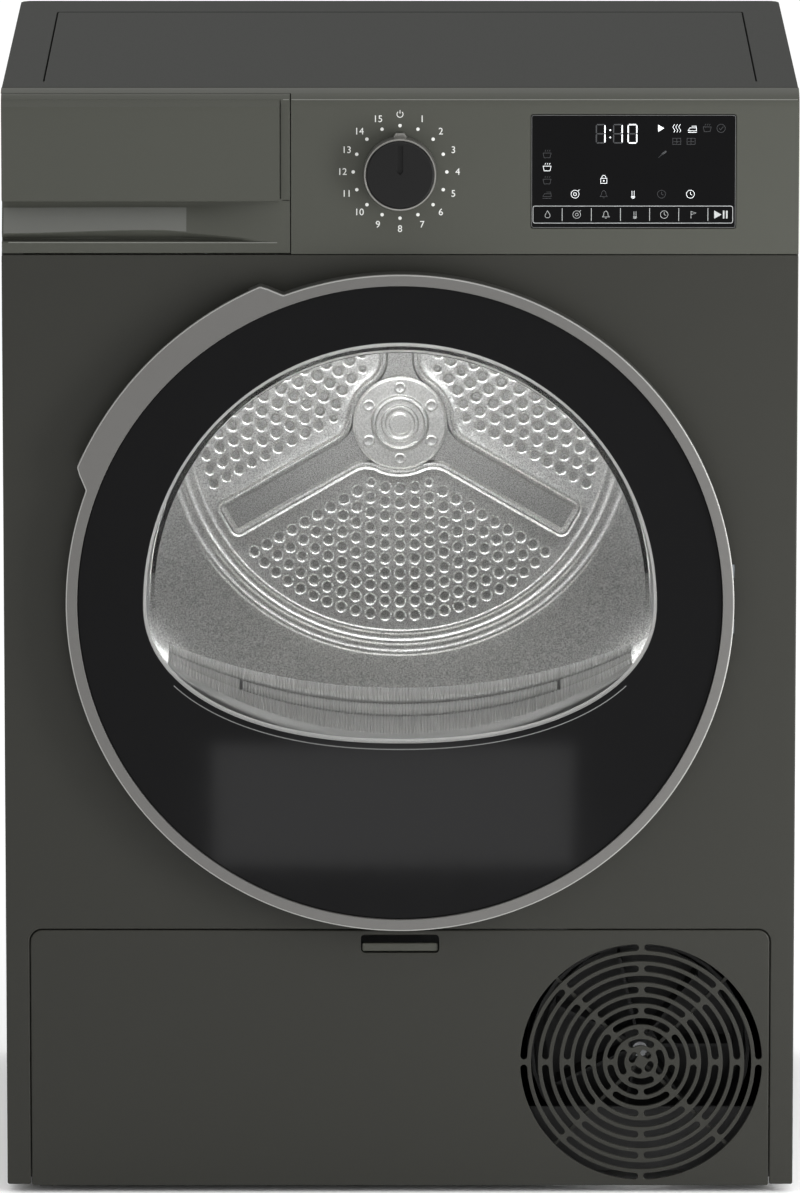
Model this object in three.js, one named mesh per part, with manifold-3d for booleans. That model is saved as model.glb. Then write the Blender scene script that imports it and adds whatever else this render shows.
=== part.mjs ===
// Front-loading condenser clothes dryer, slim cabinet. Millimetres, +Z up, the front faces -Y.
// The origin is on the floor, under the middle of the whole object.
import * as THREE from "three";
import { mergeVertices } from "three/addons/utils/BufferGeometryUtils.js";
import Module from "manifold-3d";

const wasm = await Module();
wasm.setup();

// Driving dimensions
const WIDTH = 597;
const HEIGHT = 846;
const CABINET_DEPTH = 480;
const DOOR_PROUD = 20;
const GAP = 0.4;

const HALF = WIDTH / 2;
const FRONT = -(CABINET_DEPTH + DOOR_PROUD) / 2 + DOOR_PROUD;
const BASE_Z = 12;
const TOP_FRAME_Z = 828;
const SHEET = 1.5;
const REAR_PANEL_D = 467.4;

const DOOR_Z = 459;
const RING_R = 251.3;
const RING_INNER_R = 243.2;
const RING_D = [-DOOR_PROUD, -1.2];
const GRIP_R = 264;
const GRIP_ANGLE = 135;
const DOOR_AXIS = { x: 247, d: -10.6 };
const HINGE_KNUCKLES = [-26, 16];
const KNUCKLE_HEIGHT = 10;
const LATCH_X = -240;

const PANEL_TOP = 724;
const DOOR_HOLE_R = 228;
const THROAT_R = 196;
const BULKHEAD_D = 97;

const DRUM_Z = 519;
const DRUM_R = 275;
const DRUM_D = [105, 430];
const DRUM_BACK_D = 420;
const LIFTER_ANGLES = [90, 210, 330];
const ROLLER_R = 30;
const ROLLER_ANGLE = 22;

const MOTOR = { x: 183, z: 101 };
const PULLEY_R = 10;
const IDLER = { x: 110, z: 112, r: 22 };
const BELT_D = [286, 296];

const FASCIA_BOTTOM = 724.6;
const DRAWER_RIGHT = -82;
const KNOB_Z = 785;
const DISPLAY = { x: [98, 251.3], z: [744.3, 828.3] };

const FLAP = { half: 280, z: [5, 204], corner: 9, wall: 3, depth: 12 };
const FLAP_AXIS = { d: 6, z: 14 };
const GRILLE = { x: 183, z: 101.3, rings: 11, pitch: 8.2, first: 7.2, slot: 5.2 };

const FILTER = { half: 120, d: [64, 76], z: [190, 364] };

const SEGMENTS = 48;

const rad = (degrees) => (degrees * Math.PI) / 180;
const back = (d) => FRONT + d;

// Materials
const FINISH = {
  graphite: [0x43433f, 0.42, 0.5],
  graphite_plastic: [0x58594f, 0.45, 0.1],
  ring: [0x7a7874, 0.4, 0.6],
  black_gloss: [0x111112, 0.08, 0.0],
  black_plastic: [0x202021, 0.5, 0.0],
  knob: [0x282828, 0.45, 0.0],
  glass: [0x8a9096, 0.05, 0.0],
  stainless: [0xb8b8b6, 0.3, 1.0],
  galvanised: [0xa7abad, 0.45, 0.9],
  grey_plastic: [0x8d8f90, 0.55, 0.0],
  white_plastic: [0xd9dad6, 0.5, 0.0],
  rubber: [0x1a1a1a, 0.85, 0.0],
  felt: [0xb9b4a6, 0.95, 0.0],
  aluminium: [0xc4c6c8, 0.4, 1.0],
};

function material(name) {
  const [color, roughness, metalness] = FINISH[name];
  return new THREE.MeshStandardMaterial({ name, color, roughness, metalness });
}

const dryer = new THREE.Group();

function add(name, finish, geometry) {
  const mesh = new THREE.Mesh(geometry, material(finish));
  mesh.name = name;
  dryer.add(mesh);
}

// Booleans
function solid(geometry) {
  const bare = geometry.index ? geometry.toNonIndexed() : geometry.clone();
  bare.deleteAttribute("normal");
  bare.deleteAttribute("uv");
  const merged = mergeVertices(bare, 1e-3);
  const vertProperties = merged.attributes.position.array;
  const triVerts = new Uint32Array(merged.index.array);
  return new wasm.Manifold(new wasm.Mesh({ numProp: 3, vertProperties, triVerts }));
}

function toGeometry(manifold) {
  const mesh = manifold.getMesh();
  const geometry = new THREE.BufferGeometry();
  geometry.setAttribute("position", new THREE.BufferAttribute(mesh.vertProperties, 3));
  geometry.setIndex(new THREE.BufferAttribute(mesh.triVerts, 1));
  return geometry;
}

function cut(geometry, ...tools) {
  return toGeometry(tools.reduce((left, tool) => left.subtract(solid(tool)), solid(geometry)));
}

function join(geometry, ...others) {
  return toGeometry(others.reduce((left, other) => left.add(solid(other)), solid(geometry)));
}

function common(geometry, other) {
  return toGeometry(solid(geometry).intersect(solid(other)));
}

// A box from ranges of x, of distance back from the front plane, and of z
function box([x0, x1], [d0, d1], [z0, z1]) {
  const geometry = new THREE.BoxGeometry(x1 - x0, d1 - d0, z1 - z0);
  return geometry.translate((x0 + x1) / 2, back((d0 + d1) / 2), (z0 + z1) / 2);
}

function shapeOf(points, holes = []) {
  const shape = new THREE.Shape(points.map(([x, y]) => new THREE.Vector2(x, y)));
  shape.holes = holes.map((hole) => new THREE.Path(hole.map(([x, y]) => new THREE.Vector2(x, y))));
  return shape;
}

// An outline in x and z, extruded from depth d0 to d1
function plate(points, [d0, d1], holes = []) {
  const geometry = new THREE.ExtrudeGeometry(shapeOf(points, holes), {
    depth: d1 - d0,
    bevelEnabled: false,
  });
  return geometry.rotateX(Math.PI / 2).translate(0, back(d1), 0);
}

// A profile in depth and z, extruded from x0 to x1
function bar(points, [x0, x1]) {
  const shape = shapeOf(points.map(([d, z]) => [back(d), z]));
  const geometry = new THREE.ExtrudeGeometry(shape, { depth: x1 - x0, bevelEnabled: false });
  const turn = new THREE.Matrix4().makeBasis(
    new THREE.Vector3(0, 1, 0),
    new THREE.Vector3(0, 0, 1),
    new THREE.Vector3(1, 0, 0),
  );
  return geometry.applyMatrix4(turn).translate(x0, 0, 0);
}

// A plan outline in x and depth, extruded from z0 to z1
function column(points, [z0, z1], holes = []) {
  const place = (list) => list.map(([x, d]) => [x, back(d)]);
  const shape = shapeOf(place(points), holes.map(place));
  const geometry = new THREE.ExtrudeGeometry(shape, { depth: z1 - z0, bevelEnabled: false });
  return geometry.translate(0, 0, z0);
}

// A closed profile of radius and depth turned about a front-to-back axis
function turned(profile, { x, z }, segments = SEGMENTS) {
  const closed = profile[0][0] === 0 ? profile : [...profile, profile[0]];
  const points = closed.map(([r, d]) => new THREE.Vector2(r, back(d)));
  const area = points.reduce((sum, p, i) => {
    const q = points[(i + 1) % points.length];
    return sum + p.x * q.y - q.x * p.y;
  }, 0);
  const ordered = area > 0 ? points : points.reverse();
  return new THREE.LatheGeometry(ordered, segments).translate(x, 0, z);
}

function disc(r, [d0, d1], centre, segments = SEGMENTS) {
  return turned([[0, d0], [r, d0], [r, d1], [0, d1]], centre, segments);
}

function ringOf(r0, r1, [d0, d1], centre, segments = SEGMENTS) {
  return turned([[r0, d0], [r1, d0], [r1, d1], [r0, d1]], centre, segments);
}

function upright(r, [z0, z1], { x, d }, segments = 16) {
  const geometry = new THREE.CylinderGeometry(r, r, z1 - z0, segments);
  return geometry.rotateX(Math.PI / 2).translate(x, back(d), (z0 + z1) / 2);
}

function crosswise(r, [x0, x1], { d, z }, segments = 16) {
  const geometry = new THREE.CylinderGeometry(r, r, x1 - x0, segments);
  return geometry.rotateZ(Math.PI / 2).translate((x0 + x1) / 2, back(d), z);
}

// Points on an arc, from and to in degrees
function arc(r, from, to, steps, { x, z }) {
  return Array.from({ length: steps + 1 }, (_, i) => {
    const a = rad(from + ((to - from) * i) / steps);
    return [x + r * Math.cos(a), z + r * Math.sin(a)];
  });
}

function circle(r, centre, steps = SEGMENTS) {
  return arc(r, 0, 360 - 360 / steps, steps - 1, centre);
}

function roundedRect([x0, x1], [z0, z1], r, steps = 3) {
  return [
    ...arc(r, 180, 270, steps, { x: x0 + r, z: z0 + r }),
    ...arc(r, 270, 360, steps, { x: x1 - r, z: z0 + r }),
    ...arc(r, 0, 90, steps, { x: x1 - r, z: z1 - r }),
    ...arc(r, 90, 180, steps, { x: x0 + r, z: z1 - r }),
  ];
}

// The convex outline round a set of circles
function wrapped(circles, steps = 64) {
  const points = circles.flatMap(({ x, z, r }) => circle(r, { x, z }, r > 100 ? steps : 20));
  points.sort((a, b) => a[0] - b[0] || a[1] - b[1]);
  const cross = (o, a, b) => (a[0] - o[0]) * (b[1] - o[1]) - (a[1] - o[1]) * (b[0] - o[0]);
  const half = (list) => {
    const kept = [];
    for (const p of list) {
      while (kept.length > 1 && cross(kept.at(-2), kept.at(-1), p) <= 0) kept.pop();
      kept.push(p);
    }
    return kept.slice(0, -1);
  };
  return [...half(points), ...half([...points].reverse())];
}

const DOOR = { x: 0, z: DOOR_Z };
const DRUM = { x: 0, z: DRUM_Z };
const KNOB = { x: 0, z: KNOB_Z };

// Casing
function casing() {
  for (const [side, sign] of [["left", -1], ["right", 1]]) {
    const section = [
      [282, 2.6], [HALF, 2.6], [HALF, 467], [275, 467], [275, 467 - SHEET],
      [HALF - SHEET, 467 - SHEET], [HALF - SHEET, 2.6 + SHEET], [282, 2.6 + SHEET],
    ];
    const outline = section.map(([x, d]) => [sign * x, d]);
    const wall = column(outline, [BASE_Z, TOP_FRAME_Z - GAP]);
    const cheek = box([-HALF - 5, HALF + 5], [0, 44.5], [PANEL_TOP - GAP, HEIGHT]);
    add(`side_panel_${side}`, "graphite", cut(wall, cheek));
  }

  const access = circle(120, { x: 150, z: 330 }, 32);
  const rear = roundedRect([-HALF + 0.5, HALF - 0.5], [20, TOP_FRAME_Z - 1], 4, 2);
  add("rear_panel", "galvanised", plate(rear, [REAR_PANEL_D, REAR_PANEL_D + SHEET], [access]));
  const dish = [
    [0, 478.5], [118, 478.5], [124, 472], [134, 472], [134, 469.8],
    [122, 469.8], [116, 476.3], [0, 476.3],
  ];
  add("rear_duct_cover", "galvanised", turned(dish, { x: 150, z: 330 }, 28));
  const terminal = box([-262, -202], [469.8, 479], [740, 790]);
  add("power_inlet", "black_plastic", cut(terminal, upright(9, [735, 760], { x: -232, d: 474.5 }, 12)));

  const rim = roundedRect([-298.2, 298.2], [20.4, CABINET_DEPTH], 6);
  const inset = roundedRect([-268, 268], [49, 418], 2, 2);
  add("top_frame", "graphite", column(rim, [TOP_FRAME_Z, HEIGHT], [inset]));
  const lid = roundedRect([-267.4, 267.4], [49.6, 417.4], 2, 2);
  add("top_panel", "graphite", column(lid, [838, HEIGHT - 0.6]));
}

function base() {
  const outer = box([-290, 290], [20, 464], [BASE_Z, 62]);
  const pocket = box([-286, 286], [24, 460], [BASE_Z + 4, 70]);
  const ears = [-1, 1].flatMap((sign) => {
    const ear = box([sign > 0 ? 266 : -272, sign > 0 ? 272 : -266], [4.2, 22], [12, 17]);
    const pin = crosswise(2.4, sign > 0 ? [270, 279.6] : [-279.6, -270], FLAP_AXIS, 12);
    return [ear, pin];
  });
  const cradle = [-1, 1].map((sign) => {
    const x = MOTOR.x + sign * 40;
    return box([x - 8, x + 8], [160, 260], [BASE_Z + 3, 48]);
  });
  add("base_tray", "black_plastic", join(cut(outer, pocket), ...ears, ...cradle));

  for (const [name, x, d] of [
    ["foot_front_left", -262, 55], ["foot_front_right", 262, 55],
    ["foot_rear_left", -262, 425], ["foot_rear_right", 262, 425],
  ]) {
    const profile = [[0, 0], [21, 0], [23, 3], [20, 6], [7, 7], [7, BASE_Z - GAP], [0, BASE_Z - GAP]];
    const points = profile.map(([r, z]) => new THREE.Vector2(r, z));
    const foot = new THREE.LatheGeometry(points, 12);
    add(name, "rubber", foot.rotateX(Math.PI / 2).translate(x, back(d), 0));
  }
}

// Front panel with the door hole, the hinge and latch slots, and legs beside the flap
function frontPanel() {
  const inner = FLAP.half + 0.7;
  const outline = [
    [-HALF, 6], [-inner, 6], [-inner, FLAP.z[1] + 0.8], [inner, FLAP.z[1] + 0.8],
    [inner, 6], [HALF, 6], [HALF, PANEL_TOP], [-HALF, PANEL_TOP],
  ];
  const sheet = plate(outline, [0, 2.2], [circle(DOOR_HOLE_R, DOOR)]);
  const collar = ringOf(DOOR_HOLE_R - 0.1, DOOR_HOLE_R + 1.6, [0.5, 7], DOOR);
  const slots = HINGE_KNUCKLES.map((z) => {
    const x = DOOR_AXIS.x;
    return box([x - 3.5, x + 3.5], [-1, 4], [DOOR_Z + z - 1, DOOR_Z + z + KNUCKLE_HEIGHT + 1]);
  });
  const latch = box([LATCH_X - 3, LATCH_X + 9], [-1, 4], [DOOR_Z - 10, DOOR_Z + 10]);
  add("front_panel", "graphite", cut(join(sheet, collar), ...slots, latch));
}

// The rounded front top edge shared by the fascia and the drawer front
function browPoints(top) {
  const brow = [[0, 834], [0.6, 838], [3, 841.2], [8, 843.6], [14, 845], [20, 845.7]];
  return brow.filter(([, z]) => z < top);
}

function fascia() {
  const outer = [
    [0, FASCIA_BOTTOM], [44, FASCIA_BOTTOM], [44, TOP_FRAME_Z - GAP], [20, TOP_FRAME_Z - GAP],
    ...browPoints(HEIGHT).reverse(),
  ];
  const hollow = [
    [3, FASCIA_BOTTOM + 3], [50, FASCIA_BOTTOM + 3], [50, 824], [17, 824],
    [17, 841.5], [8, 840], [3, 834],
  ];
  const shell = cut(
    bar(outer, [-HALF, HALF]),
    bar(hollow, [-HALF + 3, HALF - 3]),
    box([-HALF - 1, DRAWER_RIGHT + 0.5], [-1, 50], [720, 843.2]),
  );
  const cheek = box([DRAWER_RIGHT + 0.5, DRAWER_RIGHT + 3.5], [1, 44], [FASCIA_BOTTOM, 827]);
  const [x0, x1] = DISPLAY.x;
  const [z0, z1] = DISPLAY.z;
  const pocket = plate(roundedRect([x0 - GAP, x1 + GAP], [z0 - GAP, z1 + GAP], 2), [-1, 1.6]);
  const window = box([x0 + 4, x1 - 4], [1, 4], [z0 + 4, z1 - 4]);
  add("control_fascia", "graphite_plastic", cut(
    join(shell, cheek), pocket, window, disc(5.2, [-1, 4], KNOB, 16),
  ));
  add("display_glass", "black_gloss", plate(roundedRect([x0, x1], [z0, z1], 2), [0.1, 1.3]));
  const encoder = box([-14, 14], [5, 17], [KNOB_Z - 14, KNOB_Z + 14]);
  add("knob_encoder", "black_plastic", cut(encoder, disc(5.2, [0, 20], KNOB, 16)));
}

function knob() {
  const profile = [
    [0, -11], [25.7, -11], [25.7, -15.6], [27.3, -15.6], [27.3, -1.4],
    [4.5, -1.4], [4.5, 16], [0, 16],
  ];
  const pointer = plate([[-4.6, 26], [4.6, 26], [3, 30], [-3, 30]].map(([x, z]) => [x, KNOB_Z + z]),
    [-6, -1.4]);
  add("knob_body", "ring", join(turned(profile, KNOB, 32), pointer));
  const slot = box([-2.1, 2.1], [-18, -15.4], [KNOB_Z, KNOB_Z + 22]);
  add("knob_cap", "knob", cut(disc(25.3, [-16.6, -11.4], KNOB, 32), slot));
}

// Water drawer: the grip front and the tank that slides above the drum
function drawer() {
  const left = -HALF + 0.3;
  const right = DRAWER_RIGHT;
  const outer = [
    [0, 725.2], [40, 725.2], [40, 825.6], [17, 825.6], [17, 842.6],
    ...browPoints(842.6).reverse(),
  ];
  const upper = box([left + 3, right - 3], [4, 41], [769, 822]);
  const lower = box([left + 3, right - 3], [24, 41], [728, 770]);
  const grip = bar([[-1, 736], [2, 737], [19, 744], [19, 762.6], [-1, 762.6]], [left + 2.4, -96]);
  const corner = roundedRect([left + 0.6, -90], [763, 838], 3, 2);
  add("drawer_front", "graphite_plastic", cut(
    join(bar(outer, [left, right]), plate(corner, [-3, 1])), upper, lower, grip,
  ));

  const body = [[-290, 740.5], [-205, 740.5], [-94, 799.5], [-94, 822], [-290, 822]];
  const cavity = [[-287, 743.5], [-205.7, 743.5], [-97, 801.3], [-97, 819], [-287, 819]];
  const spout = box([-272, -238], [58, 92], [815, 825]);
  add("water_tank", "white_plastic", cut(plate(body, [40.4, 440]), plate(cavity, [43.4, 437]), spout));
  const tray = [
    [-296, 737.5], [-203.7, 737.5], [-90.6, 797.6], [-90.6, 799.9], [-204.4, 739.5], [-296, 739.5],
  ];
  add("tank_tray", "grey_plastic", plate(tray, [46, 450]));
}

// Front bulkhead: the plate that carries the drum's front, with the throat the laundry goes through
function bulkhead() {
  const plateOuter = join(
    plate(circle(283, DRUM), [BULKHEAD_D, BULKHEAD_D + 2]),
    box([-288, 288], [BULKHEAD_D, BULKHEAD_D + 2], [212, 700]),
  );
  const throat = [
    [THROAT_R, 34], [224, 34], [224, 36], [199, 36], [199, BULKHEAD_D + 1], [THROAT_R, BULKHEAD_D + 1],
  ];
  const slot = box([-FILTER.half - 3, FILTER.half + 3], [59, 85], [245, 312]);
  add("front_bulkhead", "galvanised", cut(
    join(cut(plateOuter, disc(THROAT_R + 1, [90, 110], DOOR)), turned(throat, DOOR)), slot,
  ));
  add("drum_front_seal", "felt", ringOf(262, 272, [99.4, 104.6], DRUM));

  const slope = [[36.5, 200], [96.4, 200], [96.4, 369], [40, 342], [36.5, 340]];
  const under = [[40, 200], [92, 200], [92, 361], [44, 338], [40, 336]];
  const lip = common(bar(slope, [-190, 190]), disc(THROAT_R - 0.6, [30, 100], DOOR));
  const hollow = common(bar(under, [-190, 190]), disc(THROAT_R - 4, [30, 100], DOOR));
  const mouth = box([-FILTER.half - 2, FILTER.half + 2], [62, 78], [240, 380]);
  add("filter_housing", "grey_plastic", cut(lip, hollow, mouth));

  const duct = column(
    [[-127, 56], [127, 56], [127, 88], [-127, 88]], [182, 312],
    [[[-124, 59], [-124, 85], [124, 85], [124, 59]]],
  );
  add("air_duct_front", "grey_plastic", cut(duct, disc(199.5, [30, 96], DOOR)));

  const { half, d, z } = FILTER;
  const frame = box([-half, half], d, z);
  const pockets = [-1, 1].flatMap((sign) => {
    const range = sign < 0 ? [-half + 8, -4] : [4, half - 8];
    const height = [z[0] + 8, z[1] - 60];
    return [box(range, [d[0] - 1, d[0] + 4.5], height), box(range, [d[1] - 4.5, d[1] + 1], height)];
  });
  const pull = box([-32, 32], [d[0] + 5, d[1] + 1], [z[1] - 22, z[1] - 6]);
  add("lint_filter", "grey_plastic", cut(frame, ...pockets, pull));
}

function drum() {
  const shell = [
    [258, DRUM_D[0]], [DRUM_R, DRUM_D[0]], [DRUM_R, DRUM_D[1]], [DRUM_R - 1.4, DRUM_D[1]],
    [DRUM_R - 1.4, DRUM_D[0] + 1.4], [258, DRUM_D[0] + 1.4],
  ];
  add("drum_shell", "stainless", turned(shell, DRUM, 60));
  const rear = [
    [0, DRUM_BACK_D], [190, DRUM_BACK_D], [200, DRUM_BACK_D + 4], [262, DRUM_BACK_D + 4],
    [273, DRUM_BACK_D - 2], [273, DRUM_BACK_D + 8], [262, DRUM_BACK_D + 8],
    [200, DRUM_BACK_D + 7], [190, DRUM_BACK_D + 3], [0, DRUM_BACK_D + 3],
  ];
  add("drum_back", "stainless", turned(rear, DRUM));
  const cover = [[0, 414], [19, 414], [21, 417.5], [36, 417.5], [37.4, 419.6], [0, 419.6]];
  add("drum_hub_cover", "stainless", turned(cover, DRUM, 32));
  add("drum_shaft", "galvanised", turned(
    [[0, 423.6], [40, 423.6], [40, 429], [12.5, 430], [12.5, 464], [0, 464]], DRUM, 24,
  ));
  LIFTER_ANGLES.forEach((angle, i) => {
    const section = [[-26, -271], [26, -271], [9, -228], [-9, -228]];
    const lifter = plate(section, [DRUM_D[0] + 12, DRUM_BACK_D - 6]);
    lifter.rotateY(rad(-angle - 90)).translate(0, 0, DRUM_Z);
    add(`drum_lifter_${i + 1}`, "grey_plastic", lifter);
  });

  const bracket = box([-294, 294], [446, 451], [DRUM_Z - 40, DRUM_Z + 40]);
  const boss = disc(30, [434, 458], DRUM, 24);
  add("rear_bearing_bracket", "galvanised", cut(join(bracket, boss), disc(13.2, [430, 460], DRUM, 24)));
}

function rollers() {
  const reach = DRUM_R + ROLLER_R + GAP;
  for (const [side, sign] of [["left", -1], ["right", 1]]) {
    const centre = {
      x: sign * reach * Math.sin(rad(ROLLER_ANGLE)),
      z: DRUM_Z - reach * Math.cos(rad(ROLLER_ANGLE)),
    };
    const tread = [
      [6.6, 108], [ROLLER_R, 108], [ROLLER_R, 132], [6.6, 132],
    ];
    add(`drum_roller_${side}`, "black_plastic", turned(tread, centre, 28));
    const leaf = box([centre.x - 16, centre.x + 16], [99.4, 103], [centre.z - 34, centre.z + 14]);
    add(`roller_bracket_${side}`, "galvanised", join(leaf, disc(6, [101, 136], centre, 16)));
  }
}

// Motor, its two fans on one shaft, the belt and its tensioner
function drive() {
  const motor = [
    [8, 150], [50, 150], [61, 160], [61, 258], [50, 268], [8, 268],
  ];
  const foot = box([MOTOR.x - 50, MOTOR.x + 50], [166, 254], [48.6, 60]);
  add("motor_body", "galvanised", cut(
    join(turned(motor, MOTOR, 32), foot), disc(8, [140, 280], MOTOR, 32),
  ));
  const shaft = [
    [0, 44], [6, 44], [6, BELT_D[0] - 3], [PULLEY_R + 4, BELT_D[0] - 3], [PULLEY_R + 4, BELT_D[0] - 1],
    [PULLEY_R, BELT_D[0] - 1], [PULLEY_R, BELT_D[1] + 1], [PULLEY_R + 4, BELT_D[1] + 1],
    [PULLEY_R + 4, BELT_D[1] + 3], [6, BELT_D[1] + 3], [6, 458], [0, 458],
  ];
  add("motor_shaft", "aluminium", turned(shaft, MOTOR, 20));
  fan("cooling_fan", 72, [58, 92], 7);
  fan("process_fan", 66, [420, 446], 7);

  const coolHouse = [[20, 104], [84, 104], [84, 46], [81, 46], [81, 101], [20, 101]];
  add("cooling_fan_housing", "grey_plastic", turned(coolHouse, MOTOR, 28));
  const airHouse = [[20, 412], [80, 412], [80, 455], [77, 455], [77, 415], [20, 415]];
  add("process_fan_housing", "grey_plastic", turned(airHouse, MOTOR, 28));

  const line = (extra) => wrapped([
    { ...DRUM, r: DRUM_R + extra }, { ...MOTOR, r: PULLEY_R + extra },
    { x: IDLER.x, z: IDLER.z, r: IDLER.r + extra },
  ]);
  const inside = line(0.5);
  add("drum_belt", "rubber", plate(line(3.2), BELT_D, [inside]));
  const idler = [
    [4.4, BELT_D[0] - 2], [IDLER.r, BELT_D[0] - 2], [IDLER.r, BELT_D[1] + 2], [4.4, BELT_D[1] + 2],
  ];
  add("idler_pulley", "black_plastic", turned(idler, IDLER, 24));
  const arm = plate([[IDLER.x - 10, 48], [IDLER.x + 12, 48], [IDLER.x + 8, 122], [IDLER.x - 8, 122]],
    [301, 304]);
  const leg = box([IDLER.x - 10, IDLER.x + 12], [301, 316], [BASE_Z + 4.4, 50]);
  add("idler_arm", "galvanised", join(arm, leg, disc(4, [280, 303], IDLER, 16)));
}

function fan(name, r, [d0, d1], blades) {
  const hub = turned(
    [[6.4, d0 + 4], [14, d0 + 4], [14, d1 - 3], [r, d1 - 3], [r, d1], [6.4, d1]], MOTOR, 20,
  );
  const blade = (i) => {
    const vane = box([12, r - 2], [d0, d1 - 1], [-1.2, 1.2]);
    return vane.rotateY(rad((i * 360) / blades)).translate(MOTOR.x, 0, MOTOR.z);
  };
  add(name, "grey_plastic", join(hub, ...Array.from({ length: blades }, (_, i) => blade(i))));
}

// Heat side: the condenser cassette, its pump and the heater duct
function airPath() {
  const block = box([-236, -36], [30, 400], [22, 150]);
  const tunnel = box([-240, -30], [44, 396], [26, 146]);
  const grip = box([-176, -96], [26, 40], [78, 94]);
  add("condenser_cassette", "aluminium", cut(block, tunnel, grip));
  add("condensate_pump", "black_plastic", join(
    disc(24, [410, 440], { x: -180, z: 66 }, 20), box([-200, -160], [412, 436], [BASE_Z + 5, 60]),
  ));
  const heater = cut(
    box([70, 262], [452, 466], [190, 430]),
    box([72, 260], [454, 464.5], [180, 428]),
    box([90, 240], [450, 456], [300, 420]),
  );
  add("heater_duct", "galvanised", heater);
}

// Door: the ring with its grip, the glass, the frame behind it, the window bowl, seal and latch
function door() {
  const shoulder = [[GRIP_R, 21.6], [RING_R + 9, 22.6], [RING_R, 24.7]];
  const at = (r, a) => [r * Math.cos(rad(a)), DOOR_Z + r * Math.sin(rad(a))];
  const outline = [
    ...shoulder.slice(1).reverse().map(([r, a]) => at(r, GRIP_ANGLE - a)),
    ...arc(GRIP_R, GRIP_ANGLE - 21.6, GRIP_ANGLE + 21.6, 10, DOOR),
    ...shoulder.slice(1).map(([r, a]) => at(r, GRIP_ANGLE + a)),
    ...arc(RING_R, GRIP_ANGLE + 28, GRIP_ANGLE + 332, 46, DOOR),
  ];
  const blank = plate(outline, RING_D, [circle(RING_INNER_R, DOOR, 56)]);
  const scoop = plate([
    ...arc(GRIP_R + 4, GRIP_ANGLE - 19.5, GRIP_ANGLE + 19.5, 8, DOOR),
    ...arc(RING_R + 3, GRIP_ANGLE + 19.5, GRIP_ANGLE - 19.5, 8, DOOR),
  ], [-12, 0]);
  const notches = HINGE_KNUCKLES.map((z) => {
    const span = [DOOR_Z + z - GAP, DOOR_Z + z + KNUCKLE_HEIGHT + GAP];
    return box([DOOR_AXIS.x - 4.6, DOOR_AXIS.x + 6], [-17.2, 0], span);
  });
  const pinHole = upright(2, [DOOR_Z - 20, DOOR_Z + 20], DOOR_AXIS, 12);
  add("door_ring", "ring", cut(blank, scoop, ...notches, pinHole));
  add("door_glass", "black_gloss", disc(RING_INNER_R - 1.2, [-17, -13], DOOR, 56));

  const frame = [
    [192, -12.4], [238, -12.4], [238, -8], [222, -8], [222, 28], [186, 28], [186, 24.5],
    [218.5, 24.5], [218.5, -9], [192, -9],
  ];
  add("door_inner_frame", "black_plastic", turned(frame, DOOR));
  const bowl = [
    [0, 33.4], [168, 33.4], [184.6, 24], [191, -8.4],
    [187, -8.4], [180.6, 21.6], [166.6, 29.6], [0, 29.6],
  ];
  add("door_window", "glass", turned(bowl, DOOR));
  add("door_seal", "rubber", ringOf(200, 214, [28.4, 33.4], DOOR, 40));
  const hook = join(
    box([LATCH_X, LATCH_X + 5], [-7.6, 22], [DOOR_Z - 6, DOOR_Z + 6]),
    box([LATCH_X, LATCH_X + 14], [-7.6, -4.6], [DOOR_Z - 6, DOOR_Z + 6]),
    box([LATCH_X - 2, LATCH_X + 2], [16, 22], [DOOR_Z - 6, DOOR_Z + 6]),
  );
  add("door_latch_hook", "galvanised", hook);

  const body = box([-268, -228.6], [2.8, 32], [DOOR_Z - 32, DOOR_Z + 32]);
  const cavity = box([LATCH_X - 5, LATCH_X + 9.4], [2, 28], [DOOR_Z - 9, DOOR_Z + 9]);
  const lock = cut(body, cavity, disc(DOOR_HOLE_R + 2.2, [0, 40], DOOR));
  add("door_lock", "black_plastic", lock);

  const leaf = box([238, 268], [2.8, 5.3], [DOOR_Z - 40, DOOR_Z + 40]);
  const knuckles = HINGE_KNUCKLES.flatMap((z) => {
    const span = [DOOR_Z + z, DOOR_Z + z + KNUCKLE_HEIGHT];
    const inward = z < 0 ? [span[1] - 1, span[1] + 6] : [span[0] - 6, span[0] + 1];
    return [
      box([DOOR_AXIS.x - 1.5, DOOR_AXIS.x + 1.5], [DOOR_AXIS.d, 4], span),
      upright(3, span, DOOR_AXIS, 12),
      upright(1.5, inward, DOOR_AXIS, 12),
    ];
  });
  add("door_hinge_bracket", "galvanised", cut(join(leaf, ...knuckles),
    disc(DOOR_HOLE_R + 2.2, [0, 40], DOOR)));
}

// Service flap with its concentric air slots
function grilleSlots() {
  const slots = [];
  for (let ring = 0; ring < GRILLE.rings; ring += 1) {
    const r = GRILLE.first + ring * GRILLE.pitch;
    const steps = Math.max(2, Math.round(r / 20));
    const rib = (4.2 / r) * (180 / Math.PI);
    const start = ring % 2 === 0 ? 0 : 45;
    for (let quarter = 0; quarter < 4; quarter += 1) {
      const from = start + quarter * 90 + rib;
      const to = start + (quarter + 1) * 90 - rib;
      slots.push([
        ...arc(r + GRILLE.slot / 2, from, to, steps, GRILLE),
        ...arc(r - GRILLE.slot / 2, to, from, steps, GRILLE),
      ]);
    }
  }
  return slots;
}

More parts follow.
